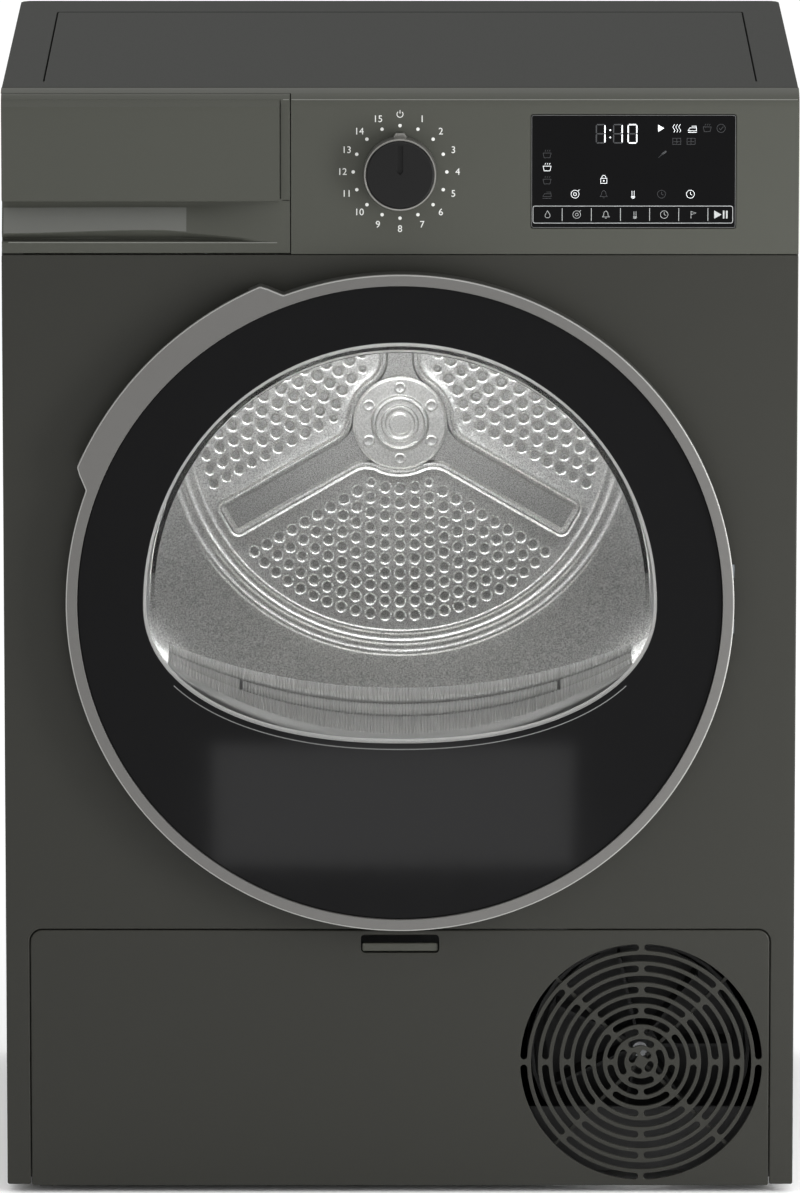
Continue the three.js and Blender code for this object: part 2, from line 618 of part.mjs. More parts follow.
function flap() {
  const { half, z, corner, wall, depth } = FLAP;
  const round = (inset) => [
    [-half + inset, z[0] + inset], [half - inset, z[0] + inset],
    ...arc(corner - inset, 0, 90, 3, { x: half - corner, z: z[1] - corner }),
    ...arc(corner - inset, 90, 180, 3, { x: -half + corner, z: z[1] - corner }),
  ];
  const face = plate(round(0), [0, wall], grilleSlots());
  const skirt = plate(round(0), [wall - 0.5, depth], [round(wall)]);
  const latch = box([-29.4, 29.4], [-1, depth + 1], [186.6, 200.4]);
  const notches = [-1, 1].map((sign) => box(sign > 0 ? [264, 274] : [-274, -264], [3, 14], [4, 22]));
  const holes = crosswise(2.8, [-282, 282], FLAP_AXIS, 12);
  add("service_flap", "graphite", cut(join(face, skirt), latch, ...notches, holes));
  const button = join(
    box([-28.8, 28.8], [1.6, 4], [187.2, 194.6]),
    box([-28.8, 28.8], [3.6, 14], [187.2, 189.4]),
  );
  add("flap_button", "graphite_plastic", button);
}

casing();
base();
frontPanel();
fascia();
knob();
drawer();
bulkhead();
drum();
rollers();
drive();
airPath();
door();
flap();

export default dryer;
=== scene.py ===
"""Front-loading condenser dryer: the finished surfaces, built round its fixed frame."""

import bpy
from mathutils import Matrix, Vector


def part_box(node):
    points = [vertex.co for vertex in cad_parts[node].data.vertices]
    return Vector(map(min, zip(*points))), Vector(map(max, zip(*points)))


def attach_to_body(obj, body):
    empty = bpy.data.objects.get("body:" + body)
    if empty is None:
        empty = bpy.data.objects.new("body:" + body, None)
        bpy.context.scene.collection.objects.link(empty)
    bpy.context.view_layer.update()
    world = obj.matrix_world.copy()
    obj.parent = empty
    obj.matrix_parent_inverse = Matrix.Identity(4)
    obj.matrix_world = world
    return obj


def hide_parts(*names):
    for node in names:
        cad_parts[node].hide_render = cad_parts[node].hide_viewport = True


bl_info = {
    "name": "Clothes Dryer",
    "version": (1, 0, 0),
    "blender": (4, 5, 0),
    "location": "View3D > Sidebar > Dryer",
    "description": "Builds the casing, controls, door, drum and works of a front-loading dryer",
    "category": "Add Mesh",
}

import math

import bmesh
import bpy
from bpy.props import FloatProperty, FloatVectorProperty, IntProperty, PointerProperty
from mathutils import Matrix, Vector, geometry

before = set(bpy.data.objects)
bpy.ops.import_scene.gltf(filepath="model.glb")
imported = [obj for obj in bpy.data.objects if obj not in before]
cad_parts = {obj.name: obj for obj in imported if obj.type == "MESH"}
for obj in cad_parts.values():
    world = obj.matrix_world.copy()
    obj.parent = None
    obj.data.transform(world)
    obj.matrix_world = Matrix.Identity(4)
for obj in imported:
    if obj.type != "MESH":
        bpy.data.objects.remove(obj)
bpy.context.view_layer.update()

MM = 0.001
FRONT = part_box("front_panel")[0].y / MM
SMOOTH_ANGLE = math.radians(38)
ROUND_SEGMENTS = 128
FINE_SEGMENTS = 180

# Millimetres
SEAM_DROP = 1.8  # how far the seam under the fascia and drawer lies below the frame's
DISPLAY_DROP = 1.9  # how far the display glass reaches below the frame's
HINGE_AXIS = 10.5  # the door's pivot line, right of the hinge bracket's left edge
KNUCKLES = (-26, 16)  # the foot of each hinge knuckle, from the door's middle
KNUCKLE_HEIGHT = 10


def srgb(*levels):
    """A colour given in screen levels from 0 to 255, as the linear colour that shaders take."""
    shares = [level / 255 for level in levels]
    return tuple(s / 12.92 if s <= 0.04045 else ((s + 0.055) / 1.055) ** 2.4 for s in shares)


class Extent:
    """How far a frame node reaches, in millimetres: x, z, and d, back from the front panel's face."""

    def __init__(self, node):
        low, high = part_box(node)
        self.x = (low.x / MM, high.x / MM)
        self.d = (low.y / MM - FRONT, high.y / MM - FRONT)
        self.z = (low.z / MM, high.z / MM)
        self.centre = ((self.x[0] + self.x[1]) / 2, (self.z[0] + self.z[1]) / 2)
        self.radius = (self.x[1] - self.x[0]) / 2


# Outlines: lists of (u, v) points in millimetres, running anticlockwise

def facing(u, v, w):
    """An outline in x and z, with depth through it."""
    return u, w, v


def sideways(u, v, w):
    """An outline in depth and z, with x along it."""
    return w, u, v


def lying(u, v, w):
    """An outline in x and depth, with z through it."""
    return u, v, w


def around(centre, radius, angle):
    """The point at a radius and an angle in radians from a centre."""
    return centre[0] + radius * math.cos(angle), centre[1] + radius * math.sin(angle)


def rotated(centre, u, v, angle):
    """The point u along and v across from a centre, turned about it by an angle in radians."""
    return (
        centre[0] + u * math.cos(angle) - v * math.sin(angle),
        centre[1] + u * math.sin(angle) + v * math.cos(angle),
    )


def arc(radius, start, end, centre=(0, 0), step=3.0):
    """Points on an arc between two angles in degrees, a step in millimetres apart or less."""
    length = abs(math.radians(end - start)) * radius
    count = max(3, math.ceil(length / step))
    angles = [math.radians(start + (end - start) * i / count) for i in range(count + 1)]
    return [around(centre, radius, a) for a in angles]


def circle(radius, centre=(0, 0), count=ROUND_SEGMENTS):
    """A full circle of points."""
    angles = [math.tau * i / count for i in range(count)]
    return [around(centre, radius, a) for a in angles]


def rectangle(u, v, radius=0.0, steps=5):
    """A rectangle from two ranges, with its corners rounded."""
    corners = [(u[0], v[0]), (u[1], v[0]), (u[1], v[1]), (u[0], v[1])]
    return rounded(corners, radius, steps) if radius else corners


def rounded(points, radius, steps=4, closed=True):
    """The outline with each corner rounded; radius is one number, or one for each corner."""
    count = len(points)
    radii = radius if isinstance(radius, (list, tuple)) else [radius] * count
    made = []
    for i, point in enumerate(points):
        here = Vector(point)
        if radii[i] == 0 or (not closed and i in (0, count - 1)):
            made.append(tuple(here))
            continue
        before = Vector(points[i - 1]) - here
        after = Vector(points[(i + 1) % count]) - here
        half = before.angle(after) / 2
        reach = min(radii[i] / math.tan(half), before.length * 0.49, after.length * 0.49)
        start = here + before.normalized() * reach
        end = here + after.normalized() * reach
        weight = math.sin(half)
        for k in range(steps + 1):
            t = k / steps
            a, b, c = (1 - t) ** 2, 2 * t * (1 - t) * weight, t ** 2
            made.append(tuple((start * a + here * b + end * c) / (a + b + c)))
    return made


def anticlockwise(points):
    """The same outline, turned round if it runs clockwise."""
    area = sum(
        p[0] * q[1] - q[0] * p[1] for p, q in zip(points, list(points[1:]) + [points[0]])
    )
    return list(points) if area > 0 else list(reversed(points))


def offset(points, distance):
    """The closed outline moved inwards by a distance, or outwards by a negative one."""
    moved = []
    count = len(points)
    for i in range(count):
        here = Vector(points[i])
        a = (here - Vector(points[i - 1])).normalized()
        b = (Vector(points[(i + 1) % count]) - here).normalized()
        across = Vector((-a.y - b.y, a.x + b.x)) / max(1 + a.dot(b), 0.35)
        moved.append(tuple(here + across * distance))
    return moved


def encloses(outline, point):
    """Whether a closed outline has a point inside it."""
    inside = False
    for p, q in zip(outline, outline[1:] + outline[:1]):
        if (p[1] > point[1]) != (q[1] > point[1]):
            across = (q[0] - p[0]) * (point[1] - p[1]) / (q[1] - p[1]) + p[0]
            inside ^= point[0] < across
    return inside


class Shape:
    """A mesh being built, in millimetres: x, d back from the front face, and z."""

    def __init__(self):
        self.mesh = bmesh.new()

    def vert(self, x, d, z):
        return self.mesh.verts.new((x * MM, (FRONT + d) * MM, z * MM))

    def ring(self, points, w, place=facing):
        return [self.vert(*place(u, v, w)) for u, v in points]

    def skin(self, rows, closed=True, wrap=False):
        """Quads between rows of vertices; closed joins each row's ends, wrap the last row to the first."""
        pairs = list(zip(rows, rows[1:])) + ([(rows[-1], rows[0])] if wrap else [])
        for low, high in pairs:
            count = len(low)
            for i in range(count if closed else count - 1):
                j = (i + 1) % count
                self.mesh.faces.new((low[i], low[j], high[j], high[i]))

    def fill(self, rings):
        """Triangles inside the first closed ring and outside the others, each (outline, vertices)."""
        flat, owners, edges = [], [], []
        for index, (outline, verts) in enumerate(rings):
            start, count = len(flat), len(outline)
            flat += [Vector(p) for p in outline]
            owners += [(index, vert) for vert in verts]
            edges += [(start + i, start + (i + 1) % count) for i in range(count)]
        points, _, faces, source, _, _ = geometry.delaunay_2d_cdt(flat, edges, [], 1, 1e-7)
        if not all(source):
            raise ValueError("outlines cross each other")
        for corners in faces:
            met = [owners[source[c][0]] for c in corners]
            ring = met[0][0]
            middle = sum((points[c] for c in corners), Vector((0, 0))) / len(corners)
            alone = ring and all(index == ring for index, _ in met)
            if not (alone and encloses(rings[ring][0], middle)):
                self.mesh.faces.new([vert for _, vert in met])

    def slab(self, outer, near, far, holes=(), edge=0.5, back=0.3, place=facing, steps=3, hole_edge=None):
        """A plate between two depths with rounded rims, round its outline and its holes."""
        quarter = [math.pi / 2 * k / steps for k in range(steps + 1)]

        def levels(rim):
            """How far in, and how deep, each row of the plate's side lies."""
            front = [(rim * (1 - math.sin(a)), near + rim * (1 - math.cos(a))) for a in quarter]
            rear = [(back * (1 - math.sin(a)), far - back * (1 - math.cos(a))) for a in quarter[::-1]]
            return (front if rim else [(0, near)]) + (rear if back else [(0, far)])

        caps = ([], [])
        for index, loop in enumerate([outer, *holes]):
            points = anticlockwise(loop)
            sign = 1 if index == 0 else -1
            steps_in = levels(edge if index == 0 or hole_edge is None else hole_edge)
            outlines = [offset(points, sign * inset) if inset else points for inset, _ in steps_in]
            rows = [self.ring(o, w, place) for o, (_, w) in zip(outlines, steps_in)]
            self.skin(rows)
            caps[0].append((outlines[0], rows[0]))
            caps[1].append((outlines[-1], rows[-1]))
        self.fill(caps[0])
        self.fill(caps[1])
        return self

    def turn(self, profile, centre=(0, 0), place=facing, count=ROUND_SEGMENTS, soften=0.0, steps=3):
        """A profile of radius and depth, turned about a line through centre."""
        on_axis = profile[0][0] == 0
        points = rounded(profile, soften, steps, closed=not on_axis) if soften else profile
        rows = []
        for r, w in points:
            if r == 0:
                rows.append([self.vert(*place(centre[0], centre[1], w))])
            else:
                rows.append(self.ring(circle(r, centre, count), w, place))
        pairs = list(zip(rows, rows[1:])) + ([] if on_axis else [(rows[-1], rows[0])])
        for low, high in pairs:
            for i in range(count):
                j = (i + 1) % count
                if len(low) == 1:
                    self.mesh.faces.new((low[0], high[j], high[i]))
                elif len(high) == 1:
                    self.mesh.faces.new((low[i], low[j], high[0]))
                else:
                    self.mesh.faces.new((low[i], low[j], high[j], high[i]))
        return self

    def bead(self, loop, width, height, w, sink=0.2, closed=True, place=facing):
        """A half-round ridge along a line, standing off a surface at depth w towards smaller depth."""
        section = [(math.cos(a), math.sin(a)) for a in (math.pi * k / 6 for k in range(7))]
        points = anticlockwise(loop) if closed else list(loop)
        rows = []
        for across, up in section:
            if closed:
                line = offset(points, across * width / 2)
            else:
                line = shifted(points, across * width / 2)
            rows.append(self.ring(line, w - up * height, place))
        base = shifted(points, 0) if not closed else points
        rows.append(self.ring(base, w + sink, place))
        self.skin(rows, closed=closed, wrap=True)
        if not closed:
            for end in (0, -1):
                self.mesh.faces.new([row[end] for row in rows])
        return self


def cutter(outline, near, far, place=facing):
    """A sharp-edged form to cut with."""
    return Shape().slab(outline, near, far, edge=0, back=0, place=place)


def shifted(points, distance):
    """An open line moved sideways, to its left as it runs."""
    moved = []
    for i, point in enumerate(points):
        here = Vector(point)
        a = (here - Vector(points[i - 1])).normalized() if i else None
        b = (Vector(points[i + 1]) - here).normalized() if i < len(points) - 1 else None
        a, b = a or b, b or a
        across = Vector((-a.y - b.y, a.x + b.x)) / max(1 + a.dot(b), 0.35)
        moved.append(tuple(here + across * distance))
    return moved


def settle(obj):
    """Applies an object's modifiers to its mesh."""
    bpy.context.view_layer.update()
    graph = bpy.context.evaluated_depsgraph_get()
    mesh = bpy.data.meshes.new_from_object(obj.evaluated_get(graph))
    obj.modifiers.clear()
    old = obj.data
    obj.data = mesh
    bpy.data.meshes.remove(old)
    return obj


def shade(obj, angle=SMOOTH_ANGLE):
    """Smooth shading with creases kept, and flat faces kept flat."""
    obj.data.shade_smooth()
    obj.data.set_sharp_from_angle(angle=angle)
    even = obj.modifiers.new("even shading", "WEIGHTED_NORMAL")
    even.keep_sharp = True
    return obj


def solid(shape, name):
    """An unshaded object from a shape."""
    bmesh.ops.recalc_face_normals(shape.mesh, faces=shape.mesh.faces)
    mesh = bpy.data.meshes.new(name)
    shape.mesh.to_mesh(mesh)
    shape.mesh.free()
    obj = bpy.data.objects.new(name, mesh)
    bpy.context.scene.collection.objects.link(obj)
    return obj


def attach(obj, material, body, nodes=()):
    """Gives an object its material and its place in the frame."""
    obj.data.materials.clear()
    obj.data.materials.append(material)
    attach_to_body(obj, body)
    if nodes:
        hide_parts(*nodes)
    return obj


def piece(name, shape, material, body, nodes=(), cuts=(), bevel=0.0, angle=SMOOTH_ANGLE):
    """A finished piece: the shape, less any cuts, with its edges bevelled."""
    obj = solid(shape, name)
    for index, cutter in enumerate(cuts):
        tool = solid(cutter, f"{name}_cut_{index}")
        carve = obj.modifiers.new("cut", "BOOLEAN")
        carve.object = tool
        carve.solver = "EXACT"
        settle(obj)
        bpy.data.objects.remove(tool)
    if bevel:
        soften(obj, bevel)
    shade(obj, angle)
    return attach(obj, material, body, nodes)


def soften(obj, width, segments=2):
    """Bevels an object's corners."""
    edges = obj.modifiers.new("edges", "BEVEL")
    edges.width = width * MM
    edges.segments = segments
    edges.limit_method = "ANGLE"
    edges.angle_limit = math.radians(32)
    edges.use_clamp_overlap = True
    edges.harden_normals = False
    return settle(obj)


def refined(node, material, body, bevel=0.4):
    """A frame node's own form with clean faces and softened edges."""
    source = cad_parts[node]
    form = bmesh.new()
    form.from_mesh(source.data)
    bmesh.ops.remove_doubles(form, verts=form.verts, dist=1e-6)
    bmesh.ops.dissolve_limit(
        form, angle_limit=math.radians(1), verts=form.verts, edges=form.edges,
    )
    shape = Shape()
    shape.mesh.free()
    shape.mesh = form
    return piece(f"{node}_finished", shape, material, body, (node,), bevel=bevel)


# Shading

class Value:
    """A shader socket's value; arithmetic on it adds Math nodes."""

    def __init__(self, shader, socket):
        self.shader = shader
        self.socket = socket

    def _math(self, operation, a, b):
        return self.shader.node("Math", {"operation": operation}, {0: a, 1: b})

    def __add__(self, other):
        return self._math("ADD", self, other)

    __radd__ = __add__

    def __sub__(self, other):
        return self._math("SUBTRACT", self, other)

    def __rsub__(self, other):
        return self._math("SUBTRACT", other, self)

    def __mul__(self, other):
        return self._math("MULTIPLY", self, other)

    __rmul__ = __mul__


class Shader:
    """A material's node tree, built from the surface outwards."""

    def __init__(self, name):
        self.material = bpy.data.materials.new(name)
        self.material.use_nodes = True
        self.tree = self.material.node_tree
        self.tree.nodes.clear()

    def node(self, kind, settings=None, inputs=None, output=0):
        """Adds a node of that kind: its settings first, then its sockets' values or links."""
        made = self.tree.nodes.new(f"ShaderNode{kind}")
        for name, value in (settings or {}).items():
            if name == "stops":
                ramp = made.color_ramp.elements
                while len(ramp) < len(value):
                    ramp.new(1.0)
                for element, (place, colour) in zip(ramp, value):
                    element.position = place
                    element.color = (*colour, 1.0)
            else:
                setattr(made, name, value)
        for key, value in (inputs or {}).items():
            if isinstance(value, Value):
                self.tree.links.new(value.socket, made.inputs[key])
            else:
                made.inputs[key].default_value = value
        return Value(self, made.outputs[output]) if made.outputs else None

    def position(self):
        """Where the point is on the object, in metres."""
        return self.node("TexCoord", output="Object")

    def noise(self, per_metre, detail=2.0, roughness=0.5):
        """Soft noise from 0 to 1 with that many cells to the metre."""
        inputs = {"Scale": per_metre, "Detail": detail, "Roughness": roughness, "Vector": self.position()}
        return self.node("TexNoise", {}, inputs)

    def mix(self, share, a, b):
        """One colour to another by share."""
        return self.node("Mix", {"data_type": "RGBA"}, {0: share, 6: (*a, 1.0), 7: (*b, 1.0)}, output=2)

    def bump(self, height, distance, strength):
        """A Normal from a height that is 0 to 1, over a distance in metres."""
        return self.node("Bump", {}, {"Height": height, "Distance": distance, "Strength": strength})

    def principled(self, **values):
        """The main surface; words in a name are joined by an underscore."""
        names = {name.replace("_", " ").title().replace("Ior", "IOR"): v for name, v in values.items()}
        for name, value in names.items():
            if isinstance(value, tuple) and len(value) == 3:
                names[name] = (*value, 1.0)
        return self.node("BsdfPrincipled", {}, names)

    def finish(self, surface):
        """Links the surface and gives the material."""
        self.node("OutputMaterial", {}, {"Surface": surface})
        return self.material


def painted_sheet(name, colour, roughness=0.46, specular=0.2):
    """Satin coil-coated steel: a faint orange peel, fine flake and slow shifts of tone."""
    s = Shader(name)
    slow = s.noise(6.0, 3.0)
    flake = s.noise(2600.0, 1.0)
    tone = slow * 0.10 + flake * 0.14 - 0.12
    base = s.mix(tone + 0.5, [c * 0.84 for c in colour], [c * 1.16 for c in colour])
    peel = s.noise(420.0, 2.0)
    return s.finish(s.principled(
        base_color=base, roughness=s.noise(90.0, 2.0) * 0.1 + (roughness - 0.05),
        specular_ior_level=specular, normal=s.bump(peel, 0.00012, 0.16),
    ))


def moulded(name, colour, roughness=0.5, specular=0.3, grain=1500.0, depth=0.00006, metallic=0.0):
    """Injection-moulded plastic with a fine spark-eroded grain."""
    s = Shader(name)
    grit = s.noise(grain, 2.0, 0.6)
    slow = s.noise(9.0, 2.0)
    tone = grit * 0.12 + slow * 0.1 + 0.39
    base = s.mix(tone, [c * 0.86 for c in colour], [min(1.0, c * 1.14) for c in colour])
    return s.finish(s.principled(
        base_color=base, roughness=grit * 0.12 + (roughness - 0.06), metallic=metallic,
        specular_ior_level=specular, normal=s.bump(grit, depth, 0.5),
    ))


def drum_steel(name, bright, dark):
    """Stainless sheet whose fine crystals sparkle."""
    s = Shader(name)
    grains = s.noise(900.0, 4.0, 0.75)
    speckle = s.node("ValToRGB", {"stops": [(0.36, dark), (0.64, bright)]}, {"Fac": grains})
    haze = s.noise(14.0, 2.0)
    return s.finish(s.principled(
        base_color=speckle, metallic=1.0, roughness=grains * 0.26 + haze * 0.06 + 0.2,
        normal=s.bump(grains, 0.00016, 0.55),
    ))


def brushed_ring(name, colour, centre):
    """Satin metal turned about a front-to-back line, with fine tool marks round it."""
    s = Shader(name)
    place = s.node("VectorMath", {"operation": "SUBTRACT"}, {0: s.position(), 1: centre})
    flat = s.node("VectorMath", {"operation": "MULTIPLY"}, {0: place, 1: (1, 0, 1)})
    radius = s.node("VectorMath", {"operation": "LENGTH"}, {0: flat}, output="Value")
    marks = s.node("TexNoise", {"noise_dimensions": "1D"}, {"W": radius, "Scale": 5200.0, "Detail": 2.0})
    wear = s.noise(60.0, 3.0)
    base = s.mix(marks * 0.4 + wear * 0.3, [c * 0.8 for c in colour], [c * 1.15 for c in colour])
    return s.finish(s.principled(
        base_color=base, metallic=0.85, roughness=marks * 0.14 + 0.27,
        normal=s.bump(marks, 0.00003, 0.5),
    ))


def galvanised_sheet(name, colour):
    """Zinc-coated steel with a spangle a few millimetres across."""
    s = Shader(name)
    cells = s.node("TexVoronoi", {"feature": "F1"}, {"Vector": s.position(), "Scale": 240.0}, output=1)
    spangle = s.node("SeparateColor", {}, {"Color": cells})
    base = s.mix(spangle, [c * 0.8 for c in colour], [min(1.0, c * 1.1) for c in colour])
    return s.finish(s.principled(
        base_color=base, metallic=0.9, roughness=spangle * 0.16 + s.noise(40.0) * 0.1 + 0.3,
        normal=s.bump(s.noise(700.0), 0.00005, 0.4),
    ))


def black_glass(name, colour):
    """Glass printed black behind: deep, glossy, with only the faintest haze."""
    s = Shader(name)
    haze = s.noise(35.0, 3.0)
    base = s.mix(haze, [c * 0.9 for c in colour], [c * 1.1 for c in colour])
    return s.finish(s.principled(
        base_color=base, roughness=haze * 0.03 + 0.05, specular_ior_level=0.1,
        normal=s.bump(s.noise(8.0, 1.0), 0.0002, 0.05),
    ))


def clear_glass(name, tint, ior=1.2):
    """Thin glass: light goes straight through, and its face mirrors more the more it turns away."""
    s = Shader(name)
    gloss = s.principled(
        base_color=(1.0, 1.0, 1.0), metallic=1.0, roughness=s.noise(20.0) * 0.02 + 0.03,
    )
    through = s.node("BsdfTransparent", {}, {"Color": (*tint, 1.0)})
    turned = s.node("Fresnel", {}, {"IOR": ior})
    return s.finish(s.node("MixShader", {}, {0: turned, 1: through, 2: gloss}))


def rubbery(name, colour):
    """Matt rubber with a dusty bloom."""
    s = Shader(name)
    bloom = s.noise(45.0, 4.0)
    grit = s.noise(1300.0, 2.0)
    base = s.mix(bloom, colour, [c * 1.8 for c in colour])
    return s.finish(s.principled(
        base_color=base, roughness=bloom * 0.15 + 0.72, specular_ior_level=0.25,
        normal=s.bump(grit, 0.0001, 0.5),
    ))


def felted(name, colour):
    """Wool felt: short tangled fibres."""
    s = Shader(name)
    fibre = s.noise(1800.0, 5.0, 0.8)
    tuft = s.noise(260.0, 3.0)
    tone = fibre * 0.6 + tuft * 0.4
    base = s.mix(tone, [c * 0.6 for c in colour], [min(1, c * 1.2) for c in colour])
    return s.finish(s.principled(
        base_color=base, roughness=0.95, specular_ior_level=0.1, sheen_weight=0.3,
        normal=s.bump(fibre + tuft, 0.0006, 0.8),
    ))


def cast_metal(name, colour, grain=520.0, depth=0.0003):
    """Die-cast aluminium: matt, slightly pitted."""
    s = Shader(name)
    pits = s.noise(grain, 4.0, 0.65)
    base = s.mix(pits, [c * 0.75 for c in colour], [min(1, c * 1.15) for c in colour])
    return s.finish(s.principled(
        base_color=base, metallic=0.9, roughness=pits * 0.25 + 0.35, normal=s.bump(pits, depth, 0.5),
    ))


def milky_plastic(name, colour):
    """Natural blow-moulded plastic that lets a little light through."""
    s = Shader(name)
    cloud = s.noise(18.0, 4.0)
    base = s.mix(cloud, [c * 0.9 for c in colour], colour)
    return s.finish(s.principled(
        base_color=base, roughness=cloud * 0.12 + 0.38, specular_ior_level=0.4,
        transmission_weight=0.25, normal=s.bump(s.noise(160.0), 0.0002, 0.2),
    ))


def ink(name, colour, glow=0.0):
    """Screen-printed or back-lit ink with a slightly uneven film."""
    s = Shader(name)
    film = s.noise(1900.0, 2.0)
    base = s.mix(film, [c * 0.88 for c in colour], colour)
    return s.finish(s.principled(
        base_color=base, roughness=film * 0.1 + 0.5, specular_ior_level=0.2,
        emission_color=base, emission_strength=glow,
    ))


def floor_finish(name, colour):
    """Pale matt floor with the faintest unevenness."""
    s = Shader(name)
    cloud = s.noise(1.4, 3.0)
    base = s.mix(cloud, [c * 0.99 for c in colour], colour)
    return s.finish(s.principled(base_color=base, roughness=0.9, specular_ior_level=0.0))


# What a user may change

def colour_of(label, levels, about):
    """A colour property with a default in screen levels."""
    return FloatVectorProperty(
        name=label, description=about, subtype="COLOR", size=3, min=0.0, max=1.0, default=srgb(*levels),
    )


def length_of(label, metres, about, low=0.0, high=1.0):
    """A length property with a default in metres."""
    return FloatProperty(
        name=label, description=about, subtype="DISTANCE", unit="LENGTH",
        default=metres, min=low, max=high, precision=4,
    )


class DryerCasing(bpy.types.PropertyGroup):
    """Casing sizes and colours"""

    paint: colour_of("Paint", (46, 46, 42), "Satin paint of the panels and the flap")
    top: colour_of("Top", (40, 41, 38), "Moulded top")
    edge: length_of("Edge radius", 0.0011, "Rounding of the panels' visible edges", 0.0, 0.002)


class DryerControls(bpy.types.PropertyGroup):
    """Control panel sizes and colours"""

    fascia: colour_of("Fascia", (70, 71, 65), "Control fascia and drawer front")
    dial_ring: colour_of("Dial ring", (150, 149, 145), "Metallic ring of the programme dial")
    dial_cap: colour_of("Dial cap", (9, 9, 9), "Cap of the programme dial")
    print: colour_of("Print", (222, 223, 220), "Dots and figures")
    dots: IntProperty(name="Dots", description="Programme positions", default=16, min=4, max=24)
    dot_circle: length_of("Dot circle", 0.035, "Radius of the circle of dots", 0.03, 0.05)
    dot: length_of("Dot", 0.0026, "Diameter of one dot", 0.001, 0.004)


class DryerDoor(bpy.types.PropertyGroup):
    """Door sizes and colours"""

    ring: colour_of("Ring", (102, 101, 99), "Ring round the door")
    glass: colour_of("Printed glass", (11, 11, 12), "Black print behind the glass")
    window_radius: length_of("Window radius", 0.1932, "Half the width of the clear area", 0.1, 0.21)
    window_rise: length_of("Window rise", 0.1992, "Clear area above its middle", 0.1, 0.21)
    window_drop: length_of("Window drop", 0.107, "Clear area below its middle", 0.05, 0.19)


class DryerDrum(bpy.types.PropertyGroup):
    """Drum sizes and colours"""

    bright: colour_of("Bright steel", (235, 235, 233), "Crystals that catch the light")
    dark: colour_of("Dark steel", (150, 150, 148), "Crystals that don't")
    hole: length_of("Perforation", 0.0078, "Diameter of the air holes", 0.003, 0.01)
    pitch: length_of("Row pitch", 0.01133, "Distance between rows of air holes", 0.008, 0.02)


class DryerStage(bpy.types.PropertyGroup):
    """Studio light and floor"""

    floor: colour_of("Floor", (250, 250, 250), "Pale studio floor")
    horizon: FloatProperty(
        name="Horizon", description="Brightness of the room at eye level", default=0.32, min=0.0, max=4.0,
    )
    zenith: FloatProperty(
        name="Zenith", description="Brightness of the room overhead", default=1.5, min=0.0, max=4.0,
    )
    key: FloatProperty(
        name="Key light", description="Power of the light on the right", subtype="POWER",
        unit="POWER", default=15.5, min=0.0, max=500.0,
    )
    lamp: FloatProperty(
        name="Drum lamp", description="Power of the lamp in the drum", subtype="POWER",
        unit="POWER", default=1.55, min=0.0, max=50.0,
    )


# Casing

def side_panels(paint):
    """The two side sheets, folded back at the front and rear, with a pressed line for stiffness."""
    fascia = Extent("control_fascia")
    sheet = 1.5
    for side, sign in (("left", -1), ("right", 1)):
        node = f"side_panel_{side}"
        reach = Extent(node)
        wide = max(abs(v) for v in reach.x)
        fold = [
            (wide - 16, reach.d[0]), (wide, reach.d[0]), (wide, reach.d[1]), (wide - 22, reach.d[1]),
            (wide - 22, reach.d[1] - sheet), (wide - sheet, reach.d[1] - sheet),
            (wide - sheet, reach.d[0] + sheet), (wide - 16, reach.d[0] + sheet),
        ]
        outline = rounded(fold, [0.5, 2.2, 2.6, 0.5, 0.5, 1.0, 1.0, 0.5], 4)
        shape = Shape().slab(
            [(sign * u, v) for u, v in outline], reach.z[0], reach.z[1],
            edge=0.3, back=0.3, place=lying,
        )
        inside, outside = sorted((sign * (wide - 30), sign * (wide + 5)))
        cheek = cutter(
            rectangle((inside, outside), (fascia.z[0] - 1, reach.z[1] + 10)), -5, fascia.d[1] + 0.5,
        )
        field = rectangle((60, 425), (80, 680), 30, 8)
        low, high = sorted((sign * (wide - 0.6), sign * (wide + 1)))
        line = Shape().slab(
            offset(field, -5), low, high, holes=[offset(field, 5)], edge=0.25, back=0.25, place=sideways,
        )
        piece(
            f"side_sheet_{side}", shape, paint, "cabinet", (node,), cuts=(cheek, line),
        )


